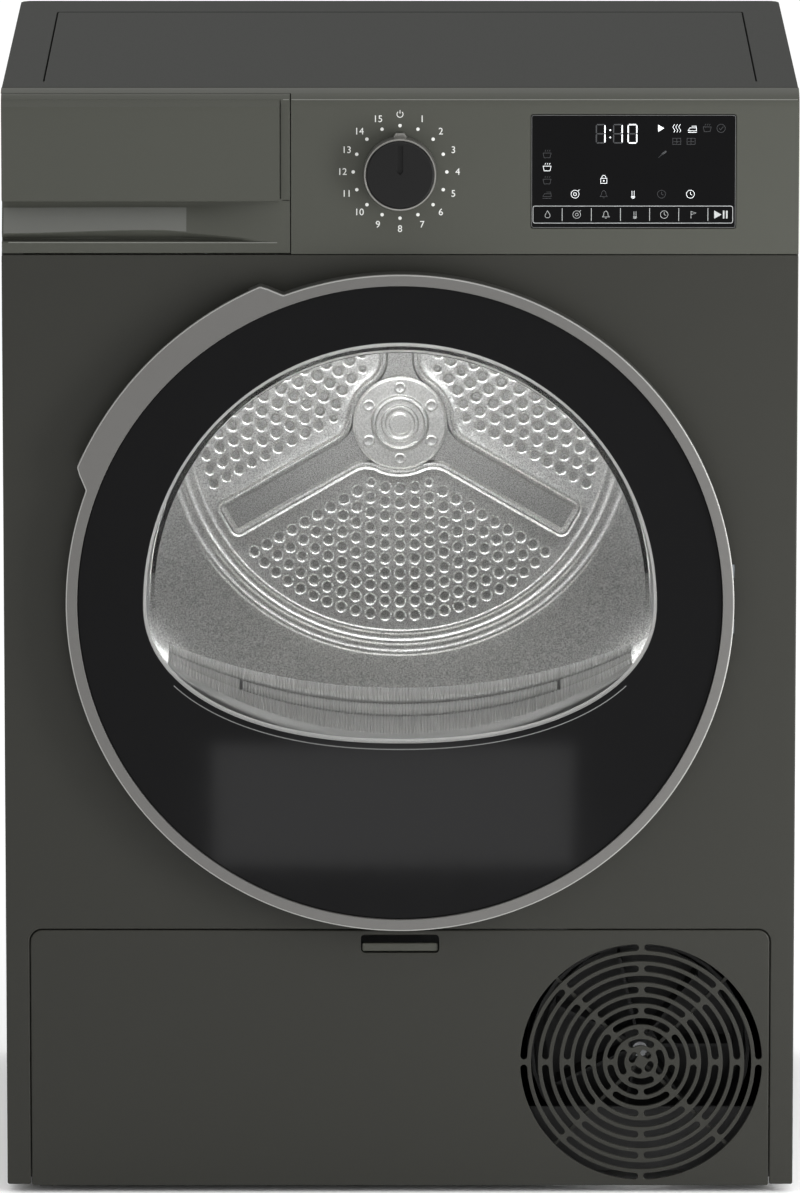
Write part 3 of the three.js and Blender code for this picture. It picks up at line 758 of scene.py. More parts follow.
def rear(zinc, black):
    """Rear sheet with pressed beads, the round duct cover, its screws, and the power inlet."""
    back = Extent("rear_panel")
    cover = Extent("rear_duct_cover")
    hole = circle(cover.radius - 14, cover.centre, 96)
    shape = Shape().slab(
        rectangle((back.x[0], back.x[1]), back.z, 4), *back.d, holes=[hole], edge=0.3, back=0.3,
    )
    loops = [
        rectangle((-262, -30), (120, 700), 22, 6),
        rectangle((-240, -52), (142, 678), 16, 6),
        rectangle((20, 262), (520, 700), 22, 6),
        rectangle((-230, 250), (50, 90), 12, 6),
    ]
    for loop in loops:
        shape.bead(loop, 7.0, -1.8, back.d[1], sink=-0.3)
    piece("rear_sheet", shape, zinc, "cabinet", ("rear_panel",))

    x, z = cover.centre
    r = cover.radius
    dish = [
        (0, cover.d[1]), (r - 16, cover.d[1]), (r - 10, cover.d[1] - 6.5), (r, cover.d[1] - 6.5),
        (r, cover.d[0]), (r - 12, cover.d[0]), (r - 18, cover.d[0] + 6.5), (0, cover.d[0] + 6.5),
    ]
    lid = Shape().turn(dish, cover.centre, soften=2.0)
    for k in range(3):
        lid.bead(circle(30 + 26 * k, cover.centre, 96), 6.0, -0.5, cover.d[1] - 0.4, sink=-0.3)
    slots = []
    for k in range(-4, 5):
        half = 30 - abs(k) * 2.5
        level = z + k * 9
        slot = rectangle((x - half, x + half), (level - 1.6, level + 1.6), 1.5, 3)
        slots.append(cutter(slot, cover.d[0] - 2, cover.d[1] + 2))
    piece("rear_duct_lid", lid, zinc, "cabinet", ("rear_duct_cover",), cuts=slots)

    heads = Shape()
    for k in range(6):
        screw(heads, around((x, z), r - 5, math.tau * (k + 0.5) / 6), cover.d[1] - 6.5, 3.4)
    for u in (back.x[0] + 12, back.x[1] - 12):
        for v in (60, 260, 460, 660, 800):
            screw(heads, (u, v), back.d[1], 3.6)
    piece("rear_screws", heads, zinc, "cabinet")

    inlet = Extent("power_inlet")
    housing = Shape().slab(rectangle(inlet.x, inlet.z, 4), *inlet.d, edge=0.6, back=1.6)
    u, v = inlet.centre
    mouth = rounded([(u - 14, v - 10), (u + 14, v - 10), (u + 14, v + 5), (u + 9, v + 10),
                     (u - 9, v + 10), (u - 14, v + 5)], 1.5, 3)
    well = cutter(mouth, inlet.d[0] + 2, inlet.d[1] + 3)
    piece("power_socket", housing, black, "cabinet", ("power_inlet",), cuts=(well,))
    pins = Shape()
    for du, dv in ((-7, -3), (0, 3), (7, -3)):
        pins.slab(
            rectangle((u + du - 1.0, u + du + 1.0), (v + dv - 2, v + dv + 2), 0.4, 2),
            inlet.d[0] + 1.8, inlet.d[1] - 1.2, edge=0.1, back=0.4,
        )
    piece("power_pins", pins, zinc, "cabinet")


def screw(shape, centre, d, radius):
    """A flat screw head on the rear, with a hexagonal socket."""
    head = [
        (0, d + 0.5), (radius * 0.42, d + 0.5), (radius * 0.45, d + 1.5), (radius * 0.9, d + 1.5),
        (radius, d + 0.9), (radius, d + 0.02), (0, d + 0.02),
    ]
    shape.turn(head, centre, count=24)


def top(paint):
    """Top frame with rounded rear corners, and the panel let into it."""
    rim, lid = Extent("top_frame"), Extent("top_panel")
    groove = 0.8
    outline = rounded(
        [(rim.x[0], rim.d[0]), (rim.x[1], rim.d[0]), (rim.x[1], rim.d[1]), (rim.x[0], rim.d[1])],
        [1.5, 1.5, 9, 9], 8,
    )
    inset = rectangle((lid.x[0] - groove, lid.x[1] + groove), (lid.d[0] - 0.3, lid.d[1] + groove), 2)
    shape = Shape().slab(
        outline, rim.z[0], rim.z[1], holes=[inset], edge=0.4, back=0.7, place=lying, steps=4,
    )
    piece("top_rim", shape, paint, "cabinet", ("top_frame",))
    panel = Shape().slab(
        rectangle((lid.x[0] + 0.2, lid.x[1] - 0.2), (lid.d[0] - 0.2, lid.d[1] - 0.2), 2),
        lid.z[0], rim.z[1] - 0.25, edge=0.3, back=0.5, place=lying,
    )
    piece("top_inset", panel, paint, "cabinet", ("top_panel",))


def feet(rubber):
    """Levelling feet: a ribbed pad on a threaded stem."""
    for name in ("foot_front_left", "foot_front_right", "foot_rear_left", "foot_rear_right"):
        reach = Extent(name)
        centre = (reach.centre[0], (reach.d[0] + reach.d[1]) / 2)
        r, high = reach.radius, reach.z[1]
        profile = [(0, 0), (r - 2, 0), (r, 1.6), (r, 3.4), (r - 2.4, 6), (8, 7)]
        for k in range(4):
            profile += [(7.6, 7.3 + k), (6.6, 7.8 + k)]
        profile += [(6.6, high), (0, high)]
        shape = Shape().turn(profile, centre, place=lying, count=48)
        piece(f"{name}_pad", shape, rubber, "cabinet", (name,))


def front_sheet(casing, paint):
    """Front panel with its turned-in door opening, its legs beside the flap, and its slots."""
    reach, door = Extent("front_panel"), Extent("door_glass")
    flap = Extent("service_flap")
    hinge, hook = Extent("door_hinge_bracket"), Extent("door_latch_hook")
    x, z = door.centre
    mouth = 228.0
    inner = flap.x[1] + 0.7
    lintel = flap.z[1] + 0.8
    corners = [
        (reach.x[0], reach.z[0]), (-inner, reach.z[0]), (-inner, lintel), (inner, lintel),
        (inner, reach.z[0]), (reach.x[1], reach.z[0]), (reach.x[1], reach.z[1] - SEAM_DROP),
        (reach.x[0], reach.z[1] - SEAM_DROP),
    ]
    outline = rounded(corners, [1.6, 1.6, 9.5, 9.5, 1.6, 1.6, 1.6, 1.6], 6)
    edge = casing.edge / MM
    shape = Shape().slab(
        outline, 0, 2.2, holes=[circle(mouth, (x, z))], edge=edge, back=0.3, steps=4,
    )
    lip = [(mouth - 0.1, 0.9), (mouth + 0.8, 0.4), (mouth + 1.5, 0.9), (mouth + 1.5, 7), (mouth - 0.1, 7)]
    shape.turn(lip, (x, z), soften=0.3)
    axis = hinge.x[0] + HINGE_AXIS
    openings = [
        rectangle((axis - 3.5, axis + 3.5), (z + low - 1, z + low + KNUCKLE_HEIGHT + 1)) for low in KNUCKLES
    ]
    openings.append(rectangle((hook.x[0] - 2, hook.x[0] + 12), (z - 10, z + 10)))
    cuts = [cutter(opening, -1, 8) for opening in openings]
    piece("front_skin", shape, paint, "cabinet", ("front_panel",), cuts=cuts)


def service_flap(casing, paint, plastic):
    """Flap with its round air grille, skirt and pull, and the sprung button behind the pull."""
    reach, button = Extent("service_flap"), Extent("flap_button")
    corner = 9

    def outline(inset, foot):
        """The flap's outline moved in, with rounded top corners and tighter ones at its foot."""
        (x0, x1), (z0, z1) = reach.x, reach.z
        corners = [(x0 + inset, z0 + inset), (x1 - inset, z0 + inset),
                   (x1 - inset, z1 - inset), (x0 + inset, z1 - inset)]
        return rounded(corners, [foot, foot, corner - inset, corner - inset], 8)

    face = outline(0, 1.7)
    centre, first, pitch, slot, rings = (183.0, 101.3), 7.2, 8.2, 5.2, 11
    holes = []
    for ring in range(rings):
        r = first + ring * pitch
        start = 0 if ring % 2 == 0 else 45
        rib = math.degrees(2.0 / r)
        if ring == 0:
            start, rib = 15, math.degrees(1.2 / r)
        for quarter in range(4):
            begin = start + quarter * 90
            holes.append(grille_slot(centre, r, slot / 2, begin + rib, begin + 90 - rib))
    pull = rectangle((button.x[0] - 0.8, button.x[1] + 0.8), (button.z[0] - 0.8, reach.z[1] - 3.6), 3, 4)
    shape = Shape().slab(
        face, 0, 3, holes=[*holes, pull], edge=casing.edge / MM, back=0.3,
        steps=3, hole_edge=0.35,
    )
    shape.slab(outline(0.02, 1.7), 2.6, reach.d[1], holes=[outline(3, 1.0)], edge=0.2, back=0.5)
    for k in range(4):
        a = math.radians(45 + 90 * k)
        shape.slab(spoke(centre, a, 6, first + rings * pitch, 2.6), 5.0, 8.0, edge=0.2, back=0.3)
    cuts = []
    for sign in (-1, 1):
        low, high = sorted((sign * 264, sign * 274))
        cuts.append(cutter(rectangle((low, high), (4, 22)), 3.05, 14))
    cuts.append(Shape().turn(
        [(0, reach.x[0] - 3), (2.8, reach.x[0] - 3), (2.8, reach.x[1] + 3), (0, reach.x[1] + 3)],
        (6, 14), place=sideways, count=24,
    ))
    latch = rectangle((button.x[0] - 0.6, button.x[1] + 0.6), (button.z[0] - 0.6, 200.4))
    cuts.append(cutter(latch, 2.9, 14))
    piece("flap_face", shape, paint, "flap", ("service_flap",), cuts=cuts)

    tab = Shape()
    tab.slab(
        rectangle(button.x, (button.z[0], button.z[0] + 6.4), 1.2, 4),
        button.d[0], 4, edge=0.9, back=0.3, steps=4,
    )
    tab.slab(
        rectangle((button.x[0] + 0.5, button.x[1] - 0.5), (button.z[0] + 0.2, button.z[0] + 2.2), 0.5, 3),
        3.7, button.d[1], edge=0.3, back=0.4,
    )
    piece("flap_pull", tab, plastic, "flap_latch", ("flap_button",))


def grille_slot(centre, radius, half, start, end):
    """A curved slot with rounded ends."""
    cap = math.degrees(half / radius)
    outer = arc(radius + half, start + cap, end - cap, centre, 3.5)
    inner = arc(radius - half, end - cap, start + cap, centre, 3.5)
    ends = []
    for at, turn in ((end - cap, 0), (start + cap, 180)):
        a = math.radians(at)
        middle = around(centre, radius, a)
        ends.append(arc(half, at + turn, at + turn + 180, middle, 1.6)[1:-1])
    return outer + ends[0] + inner + ends[1]


def spoke(centre, angle, inner, outer, width):
    """A straight radial bar seen from the front."""
    along = Vector((math.cos(angle), math.sin(angle)))
    across = Vector((-along.y, along.x)) * width / 2
    middle = Vector(centre)
    return [
        tuple(middle + along * r + across * s)
        for r, s in ((inner, -1), (outer, -1), (outer, 1), (inner, 1))
    ]


# Controls

def brow(top):
    """The rounded front top edge, as points of depth and height below top."""
    points = [(0, 834), (0.5, 837.6), (1.8, 839.9), (4.4, 842.0), (8, 843.6), (14, 845), (20, 845.7)]
    return [p for p in points if p[1] < top]


def screen_reach():
    """Reach of the display glass, which comes a little lower than its backing."""
    reach = Extent("display_glass")
    reach.z = (reach.z[0] - DISPLAY_DROP, reach.z[1])
    return reach


def brow_line(left, right):
    """A painted highlight: a pale bead along the foot of the rounded edge, where the crease would catch the
    light.
    """
    return Shape().bead([(left, 839.4), (right, 839.4)], 0.7, 0.22, 1.45, sink=0.3, closed=False)


def fascia(plastic, sheen):
    """Control fascia: its flat face with the display pocket and dial bore, and its rounded brow."""
    reach, screen, dial = Extent("control_fascia"), screen_reach(), Extent("knob_body")
    left = Extent("drawer_front").x[1] + 0.5
    foot = 724.6 - SEAM_DROP

    def pocket(margin, radius=0.0):
        """The display's outline, grown by a margin."""
        x, z = screen.x, screen.z
        return rectangle((x[0] - margin, x[1] + margin), (z[0] - margin, z[1] + margin), radius)

    bore = circle(5.2, (0, (dial.z[0] + dial.z[1] - 2.7) / 2), 48)
    outer = [(0, foot), (44, foot), (44, 827.6), (20, 827.6), *brow(846)[::-1]]
    hollow = [(3, 727.6), (50, 727.6), (50, 824), (17, 824), (17, 841.5), (8, 840), (3, 834)]
    cuts = [
        cutter(hollow, reach.x[0] + 3, reach.x[1] - 3, sideways),
        cutter(rectangle((reach.x[0] - 5, left), (715, 843.2)), -5, 60),
        cutter(pocket(0.4, 2), -1, 1.6), cutter(pocket(-4), 1, 4), cutter(bore, -1, 4),
    ]
    piece(
        "fascia_moulding", cutter(outer, *reach.x, sideways), plastic, "cabinet",
        ("control_fascia",), cuts=cuts, bevel=0.35,
    )
    # A pale bead in a lighter finish: painted highlight along the foot of the brow.
    line = brow_line(left + 0.4, reach.x[1] - 1.2)
    piece("fascia_brow_highlight", line, sheen, "cabinet")


def dial(ring_metal, cap_plastic):
    """Programme dial: turned ring with its pointer, and the dark cap with a finger groove."""
    body, cap = Extent("knob_body"), Extent("knob_cap")
    r = body.radius
    x, z = cap.centre
    front = body.d[0]
    profile = [
        (0, -11), (25.7, -11), (25.7, front + 0.2), (26.0, front), (r - 0.5, front + 0.1), (r, front + 0.8),
        (r, front + 2.5), (r - 0.25, front + 2.9), (r - 0.25, -3.4), (r, -3.0), (r, -1.4),
        (4.5, -1.4), (4.5, 16), (0, 16),
    ]
    shape = Shape().turn(profile, (x, z))
    bump = rounded([(x - 5.6, z + 26), (x + 5.6, z + 26), (x + 3.4, z + 30), (x - 3.4, z + 30)], 1.2, 3)
    shape.slab(bump, -6, -1.4, edge=0.5, back=0.2)
    piece("dial_ring", shape, ring_metal, "knob", ("knob_body",))

    face = Shape().turn(
        [(0, cap.d[0]), (cap.radius - 1.0, cap.d[0]), (cap.radius, cap.d[0] + 0.9),
         (cap.radius, cap.d[1]), (0, cap.d[1])], (x, z), soften=0.25,
    )
    w = 2.3
    groove = rounded([(x - w, z + 22.5), (x - w, z + 2.6), (x, z), (x + w, z + 2.6), (x + w, z + 22.5)],
                     [0.8, 1.5, 0.4, 1.5, 0.8], 3)
    cut = Shape().slab(groove, cap.d[0] - 1, cap.d[0] + 1.6, edge=0, back=0.3)
    piece("dial_cap", face, cap_plastic, "knob", ("knob_cap",), cuts=(cut,), bevel=0.15)


def dots_and_figures(controls, print_ink):
    """The ring of dots round the dial with a plain figure for each, and the mark for off at the top."""
    cap = Extent("knob_cap")
    x, z = cap.centre
    dots = Shape()
    count = controls.dots
    r = controls.dot_circle / MM
    angles = [math.pi / 2 - math.tau * k / count for k in range(count)]
    near, far = -0.12, -0.01
    for a in angles:
        dots.slab(circle(controls.dot / MM / 2, around((x, z), r, a), 28), near, far, edge=0.04, back=0)
    mark = (x, z + r + 8.6)
    ring = arc(2.3, 130, 410, mark, 0.5)
    stroke(dots, ring, 0.55, near, far)
    stroke(dots, [(mark[0], mark[1] + 0.6), (mark[0], mark[1] + 3.1)], 0.55, near, far)
    piece("dial_dots", dots, print_ink, "cabinet")
    for k in range(1, count):
        figure(f"dial_figure_{k}", str(k), around((x, z), r + 8.2, angles[k]), 5.4, print_ink)


def figure(name, text, centre, size, material):
    """A printed number, centred on a point of the fascia."""
    font = bpy.data.curves.new(name, "FONT")
    font.body = text
    font.size = size * MM * 1.35
    font.align_x = "CENTER"
    font.align_y = "CENTER"
    font.extrude = 0.05 * MM
    obj = bpy.data.objects.new(name, font)
    bpy.context.scene.collection.objects.link(obj)
    settled = settle_text(obj, name)
    turn = Matrix.Rotation(math.pi / 2, 4, "X")
    move = Matrix.Translation((centre[0] * MM, (FRONT - 0.07) * MM, centre[1] * MM))
    settled.data.transform(move @ turn)
    return attach(settled, material, "cabinet")


def settle_text(obj, name):
    """A text object turned into a mesh object."""
    bpy.context.view_layer.update()
    graph = bpy.context.evaluated_depsgraph_get()
    mesh = bpy.data.meshes.new_from_object(obj.evaluated_get(graph))
    bpy.data.objects.remove(obj)
    mesh.name = name
    made = bpy.data.objects.new(name, mesh)
    bpy.context.scene.collection.objects.link(made)
    return made


def stroke(shape, line, width, near, far, closed=False):
    """A flat line of even width."""
    if closed:
        shape.slab(offset(anticlockwise(line), -width / 2), near, far,
                   holes=[offset(anticlockwise(line), width / 2)], edge=0, back=0)
        return
    left = shifted(line, width / 2)
    right = shifted(line, -width / 2)
    shape.slab(left + right[::-1], near, far, edge=0, back=0)


def display(glass, lit, soft_ink, dim, edge_highlight_ink):
    """Display glass with a painted highlight along its edge, its digits, symbols and the row of touch
    fields.
    """
    reach = screen_reach()
    outline = rectangle(reach.x, reach.z, 2, 5)
    shape = Shape().slab(outline, reach.d[0], reach.d[1], edge=0.3, back=0.1, steps=4)
    piece("display_pane", shape, glass, "cabinet", ("display_glass",))

    near, far = reach.d[0] - 0.05, reach.d[0] - 0.005
    bright, faint, soft, rim = Shape(), Shape(), Shape(), Shape()
    left, right, low, high = *reach.x, *reach.z
    # A pale stroke just inside the pane's edge: painted highlight of the glass edge.
    edge = rectangle((left + 0.5, right - 0.5), (low + 0.5, high - 0.5), 1.6)
    stroke(rim, edge, 0.28, near, far, closed=True)

    def at(u, v):
        """A point of the pane from shares of its width and height."""
        return left + (right - left) * u, low + (high - low) * v

    digits(bright, faint, at(0.318, 0.912), near, far)
    icons = [
        ("play", 0.632, 0.88, bright), ("waves", 0.71, 0.88, bright), ("iron", 0.786, 0.88, bright),
        ("basket", 0.858, 0.88, faint), ("tick", 0.926, 0.88, faint), ("grid", 0.71, 0.765, faint),
        ("grid", 0.78, 0.765, faint), ("brush", 0.64, 0.65, faint),
        ("basket", 0.078, 0.65, faint), ("basket", 0.078, 0.535, bright), ("basket", 0.078, 0.42, faint),
        ("iron", 0.078, 0.3, faint), ("drum", 0.215, 0.3, bright), ("lock", 0.355, 0.43, bright),
        ("bell", 0.355, 0.3, faint), ("thermometer", 0.498, 0.3, bright), ("clock", 0.637, 0.3, faint),
        ("clock", 0.778, 0.3, bright),
    ]
    for kind, u, v, into in icons:
        symbol(into, kind, at(u, v), near, far, 1.15)

    box_low, box_high = at(0.01, 0.045), at(0.985, 0.195)
    keys = rectangle((box_low[0], box_high[0]), (box_low[1], box_high[1]), 1.5)
    stroke(soft, keys, 0.4, near, far, closed=True)
    kinds = ["drop", "drum", "bell", "thermometer", "clock", "flag"]
    for k, kind in enumerate(kinds):
        u0, u1 = 0.01 + 0.1423 * k, 0.01 + 0.1423 * (k + 1)
        edge_low, edge_high = at(u1, 0.045), at(u1, 0.195)
        stroke(soft, [(edge_low[0], edge_low[1] + 1.6), (edge_high[0], edge_high[1] - 1.6)], 0.4, near, far)
        symbol(soft, kind, at((u0 + u1) / 2, 0.12), near, far, 1.1)
    symbol(soft, "start", at(0.925, 0.12), near, far, 1.3)
    piece("display_lit", bright, lit, "cabinet")
    piece("display_keys", soft, soft_ink, "cabinet")
    piece("display_dim", faint, dim, "cabinet")
    piece("display_edge_highlight", rim, edge_highlight_ink, "cabinet")


def digits(bright, faint, corner, near, far):
    """A clock of seven-bar figures: 1:10, with the bars that are off left dim."""
    x, z = corner
    wide, tall, thick = 6.4, 13.8, 0.9
    shown = {0: "bc", 1: "bc", 2: "abcdef"}
    places = [0.0, 12.9, 23.8]
    for index, start in enumerate(places):
        left, right = x + start, x + start + wide
        top, middle, bottom = z, z - tall / 2, z - tall
        bars = {
            "a": ((left, top), (right, top)), "b": ((right, top), (right, middle)),
            "c": ((right, middle), (right, bottom)), "d": ((left, bottom), (right, bottom)),
            "e": ((left, middle), (left, bottom)), "f": ((left, top), (left, middle)),
            "g": ((left, middle), (right, middle)),
        }
        for name, (start_point, end_point) in bars.items():
            into = bright if name in shown[index] else faint
            a, b = Vector(start_point), Vector(end_point)
            along = (b - a).normalized()
            across = Vector((-along.y, along.x)) * thick / 2
            gap = thick * 0.55
            tip_a, tip_b = a + along * gap * 0.5, b - along * gap * 0.5
            outline = [
                tip_a, tip_a + along * thick / 2 - across, tip_b - along * thick / 2 - across,
                tip_b, tip_b - along * thick / 2 + across, tip_a + along * thick / 2 + across,
            ]
            into.slab([tuple(p) for p in outline], near, far, edge=0, back=0)
    for v in (z - tall * 0.3, z - tall * 0.7):
        bright.slab(circle(0.6, (x + 10.4, v), 16), near, far, edge=0, back=0)


def symbol(shape, kind, centre, near, far, size=1.0):
    """A plain line symbol about 6 mm across."""
    x, z = centre
    w = 0.3

    def line(points, closed=False):
        stroke(shape, [(x + u * size, z + v * size) for u, v in points], w, near, far, closed)

    def blot(points):
        shape.slab([(x + u * size, z + v * size) for u, v in points], near, far, edge=0, back=0)

    if kind == "play":
        blot([(-1.7, -2.3), (2.2, 0), (-1.7, 2.3)])
    elif kind == "start":
        blot([(-3.6, -2.4), (0.6, 0), (-3.6, 2.4)])
        blot([(1.4, -2.3), (2.3, -2.3), (2.3, 2.3), (1.4, 2.3)])
        blot([(3.2, -2.3), (4.1, -2.3), (4.1, 2.3), (3.2, 2.3)])
    elif kind == "waves":
        for u in (-1.9, 0, 1.9):
            line([(u + 0.6 * math.sin(k * 0.9), -2.6 + k * 0.65) for k in range(9)])
    elif kind == "iron":
        line([(-2.8, -1.6), (2.8, -1.6), (2.4, 1.4), (-0.4, 1.4)])
        line([(-2.8, -1.6), (-1.6, 0.3), (2.5, 0.3)])
        line([(-2.8, -2.7), (2.8, -2.7)])
    elif kind == "basket":
        line([(-2.6, 0.9), (-1.9, -2.2), (1.9, -2.2), (2.6, 0.9)], closed=True)
        for u in (-1.1, 0.3, 1.7):
            line([(u - 0.3, 1.9), (u + 0.3, 2.9)])
    elif kind == "tick":
        line(circle(2.7, count=24), closed=True)
        line([(-1.3, 0.1), (-0.3, -1.1), (1.5, 1.2)])
    elif kind == "grid":
        line([(-2.6, -2), (2.6, -2), (2.6, 2), (-2.6, 2)], closed=True)
        line([(-2.2, -0.2), (2.2, -0.2)])
        line([(0, -1.7), (0, 1.7)])
    elif kind == "brush":
        line([(-2.6, -2.2), (0.4, 0.4)])
        blot([(0.2, -0.4), (2.9, 1.6), (2.2, 2.6), (-0.5, 0.6)])
    elif kind == "lock":
        line([(-2.0, -2.6), (2.0, -2.6), (2.0, 0.7), (-2.0, 0.7)], closed=True)
        line([(-1.3, 0.9), *arc(1.3, 180, 0, (0, 1.4), 0.6), (1.3, 0.9)])
        blot(circle(0.5, (0, -0.9), 12))
    elif kind == "bell":
        line([(-2.3, -1.6), (2.3, -1.6), (1.5, -0.4), (1.3, 1.5), (0, 2.5), (-1.3, 1.5), (-1.5, -0.4)],
             closed=True)
        line([(-0.6, -2.4), (0.6, -2.4)])
    elif kind == "thermometer":
        line(arc(1.1, 130, 410, (0, -1.7), 0.5))
        line([(-0.7, -0.7), (-0.7, 2.2)])
        line([(0.7, -0.7), (0.7, 2.2)])
        blot(circle(0.55, (0, -1.7), 12))
    elif kind == "clock":
        line(circle(2.6, count=24), closed=True)
        line([(0, 1.6), (0, 0), (1.2, -0.6)])
    elif kind == "drum":
        line(circle(2.6, count=24), closed=True)
        line(circle(1.0, count=16), closed=True)
        line([(1.8, 2.1), (2.9, 2.9)])
    elif kind == "drop":
        line([(0, 2.6), (1.6, 0), (1.7, -1.2), (0.9, -2.2), (-0.9, -2.2), (-1.7, -1.2), (-1.6, 0)],
             closed=True)
    elif kind == "flag":
        line([(-1.6, -2.6), (-1.6, 2.4)])
        line([(-1.6, 2.2), (1.8, 1.1), (-1.6, 0)])


def drawer(plastic, milky, grey, sheen, grip_highlight_plastic):
    """Water drawer: the front with its proud plate and finger recess, and the tank behind it."""
    reach = Extent("drawer_front")
    left, right = reach.x[0], reach.x[1] - 0.3
    shape = Shape()
    sill = 763.2
    crown = 843.0
    section = [
        (0.0, sill), (40, sill), (40, 825.6), (17, 825.6), (17, crown), (6.6, crown), *brow(crown)[::-1],
    ]
    shape.slab(section, left, right, edge=0.3, back=0.3, place=sideways)
    proud, plate_end, corner = reach.d[0], -90.0, 2.8
    plate = [(1.5, sill - 0.2), (1.5, 839.3), (1.0, 839.3), (0.1, 837.4), (proud + 0.35, 834.6),
             (proud + 0.05, 832), (proud, 829), (proud, sill + 0.4), (proud + 0.6, sill - 0.2)]
    shape.slab(plate[::-1], left + 0.3, plate_end, edge=0, back=0, place=sideways)
    turn = (plate_end - corner, sill - 0.2 + corner)
    corner_cut = [
        (plate_end + 1, sill - 1.2), (plate_end + 1, turn[1]), *arc(corner, 0, -90, turn, 0.5),
        (turn[0], sill - 1.2),
    ]
    nibble = cutter(corner_cut[::-1], proud - 1, -0.02)
    beside = cutter(rectangle((plate_end + 0.02, plate_end + 0.95), (sill + 1.5, 839.3)), -0.5, 1.6)
    piece("drawer_plate", shape, plastic, "water_drawer", ("drawer_front",),
          cuts=(nibble, beside), bevel=0.2)
    # Pale beads in a lighter finish: painted highlights along the foot of the brow and along the lip under
    # the groove.
    line = brow_line(-87.5, right - 0.5)
    line.bead([(left + 5, 731.6), (-92, 731.4)], 0.8, 0.16, 0.0, sink=0.2, closed=False)
    piece("drawer_brow_highlight", line, sheen, "water_drawer")

    lower = Shape()
    lip, bottom, ramp_top = 731.8, reach.z[0] - SEAM_DROP, 759.6
    columns = 150
    rows = []
    xs = [left + (right - left) * k / columns for k in range(columns + 1)]

    def ease(value):
        value = min(1.0, max(0.0, value))
        return value * value * (3 - 2 * value)

    def recess(x):
        """How deep the ramp goes, as a share, fading out towards the right end."""
        return ease((-88 - x) / 72)

    def lipped(x):
        """Height of the groove behind the lip, tapering to a point at the right."""
        rise = 5.2 + 2.6 * ease((x - left) / 110)
        return rise * min(1.0, max(0.0, (-97 - x) / 80)) ** 0.8

    profile = [
        ("edge", 0.0, 0.5), ("face", 0.0, 0.0), ("face", 1.0, 0.0),
        ("lip", -0.3, 0.0), ("lip", 0.1, 0.25), ("lip", 0.45, 0.9), ("lip", 0.6, 1.9),
        ("groove", 0.02, 5.0), ("groove", 0.06, 7.0), ("groove", 0.3, 6.6), ("groove", 0.94, 2.2),
        ("ramp", 0.0, 1.6), ("ramp", 0.04, 1.7), ("ramp", 0.33, 4.2), ("ramp", 0.66, 7.0),
        ("ramp", 0.9, 9.2), ("ramp", 1.0, 10.0), ("top", 0.0, 10.4),
    ]
    for kind, share, depth in profile:
        row = []
        for x in xs:
            high = lip + 0.6 + lipped(x)
            fade = min(1.0, lipped(x) / 3.0)
            deep = recess(x)
            if kind == "edge":
                z, d = bottom, 0.5
            elif kind == "face":
                z, d = (bottom + 0.5 if share == 0 else lip - 0.6), 0.0
            elif kind == "lip":
                z, d = lip - 0.3 + share, depth * fade
            elif kind == "groove":
                z, d = lip + 0.35 + (high - lip - 0.35) * share, depth * fade * deep
            elif kind == "ramp":
                z, d = high + (ramp_top - high) * share, depth * deep
            else:
                z, d = sill + 0.6, depth * deep
            row.append(lower.vert(x, d, z))
        rows.append(row)
    lower.skin(rows, closed=False)
    back = []
    for row in (rows[0], rows[-1]):
        back.append([lower.vert(x, 40.0, v.co.z / MM) for x, v in zip(xs, row)])
    lower.skin([back[0], rows[0]], closed=False)
    lower.skin([rows[-1], back[1]], closed=False)
    for k in (0, -1):
        rim = [row[k] for row in rows]
        lower.mesh.faces.new([*rim, back[1][k], back[0][k]])
    lower.skin([back[1], back[0]], closed=False)
    piece("drawer_grip", lower, plastic, "water_drawer", angle=math.radians(30))

    # A lighter strip over the left part of the ramp: painted highlight where the ramp catches the light.
    grip_highlight = Shape()
    spans = [left + 1.2 + (-160 - left - 1.2) * k / 24 for k in range(25)]
    rows = []
    for share, depth in ((0.02, 1.9), (0.04, 1.45), (0.33, 4.0), (0.66, 6.8), (0.86, 8.7), (0.87, 9.2)):
        rows.append([
            grip_highlight.vert(
                x, depth * recess(x), lip + 0.6 + lipped(x) + (ramp_top - lip - 0.6 - lipped(x)) * share,
            )
            for x in spans
        ])
    behind = [[grip_highlight.vert(v.co.x / MM, v.co.y / MM - FRONT + 1.2, v.co.z / MM) for v in row]
              for row in (rows[-1], rows[0])]
    grip_highlight.skin([*rows, *behind, rows[0]], closed=False)
    for k in (0, -1):
        grip_highlight.mesh.faces.new([row[k] for row in rows] + [row[k] for row in behind])
    piece(
        "drawer_painted_grip_highlight", grip_highlight, grip_highlight_plastic, "water_drawer", angle=math.radians(30),
    )

    refined("water_tank", milky, "water_drawer", 1.2)
    refined("tank_tray", grey, "cabinet", 0.3)


# Door

def window_outline(door, grow=0.0):
    """The clear area of the door glass: round above, and flatter below."""
    x, z = Extent("door_glass").centre
    r = door.window_radius / MM + grow
    rise = door.window_rise / MM + grow
    drop = door.window_drop / MM + grow
    power = 2.2
    points = []
    for k in range(FINE_SEGMENTS):
        a = math.tau * k / FINE_SEGMENTS
        c, s = math.cos(a), math.sin(a)
        if s >= 0:
            points.append((x + r * c, z + rise * s))
        else:
            u = math.copysign(abs(c) ** (2 / power), c)
            points.append((x + r * u, z - drop * abs(s) ** (2 / power)))
    return points


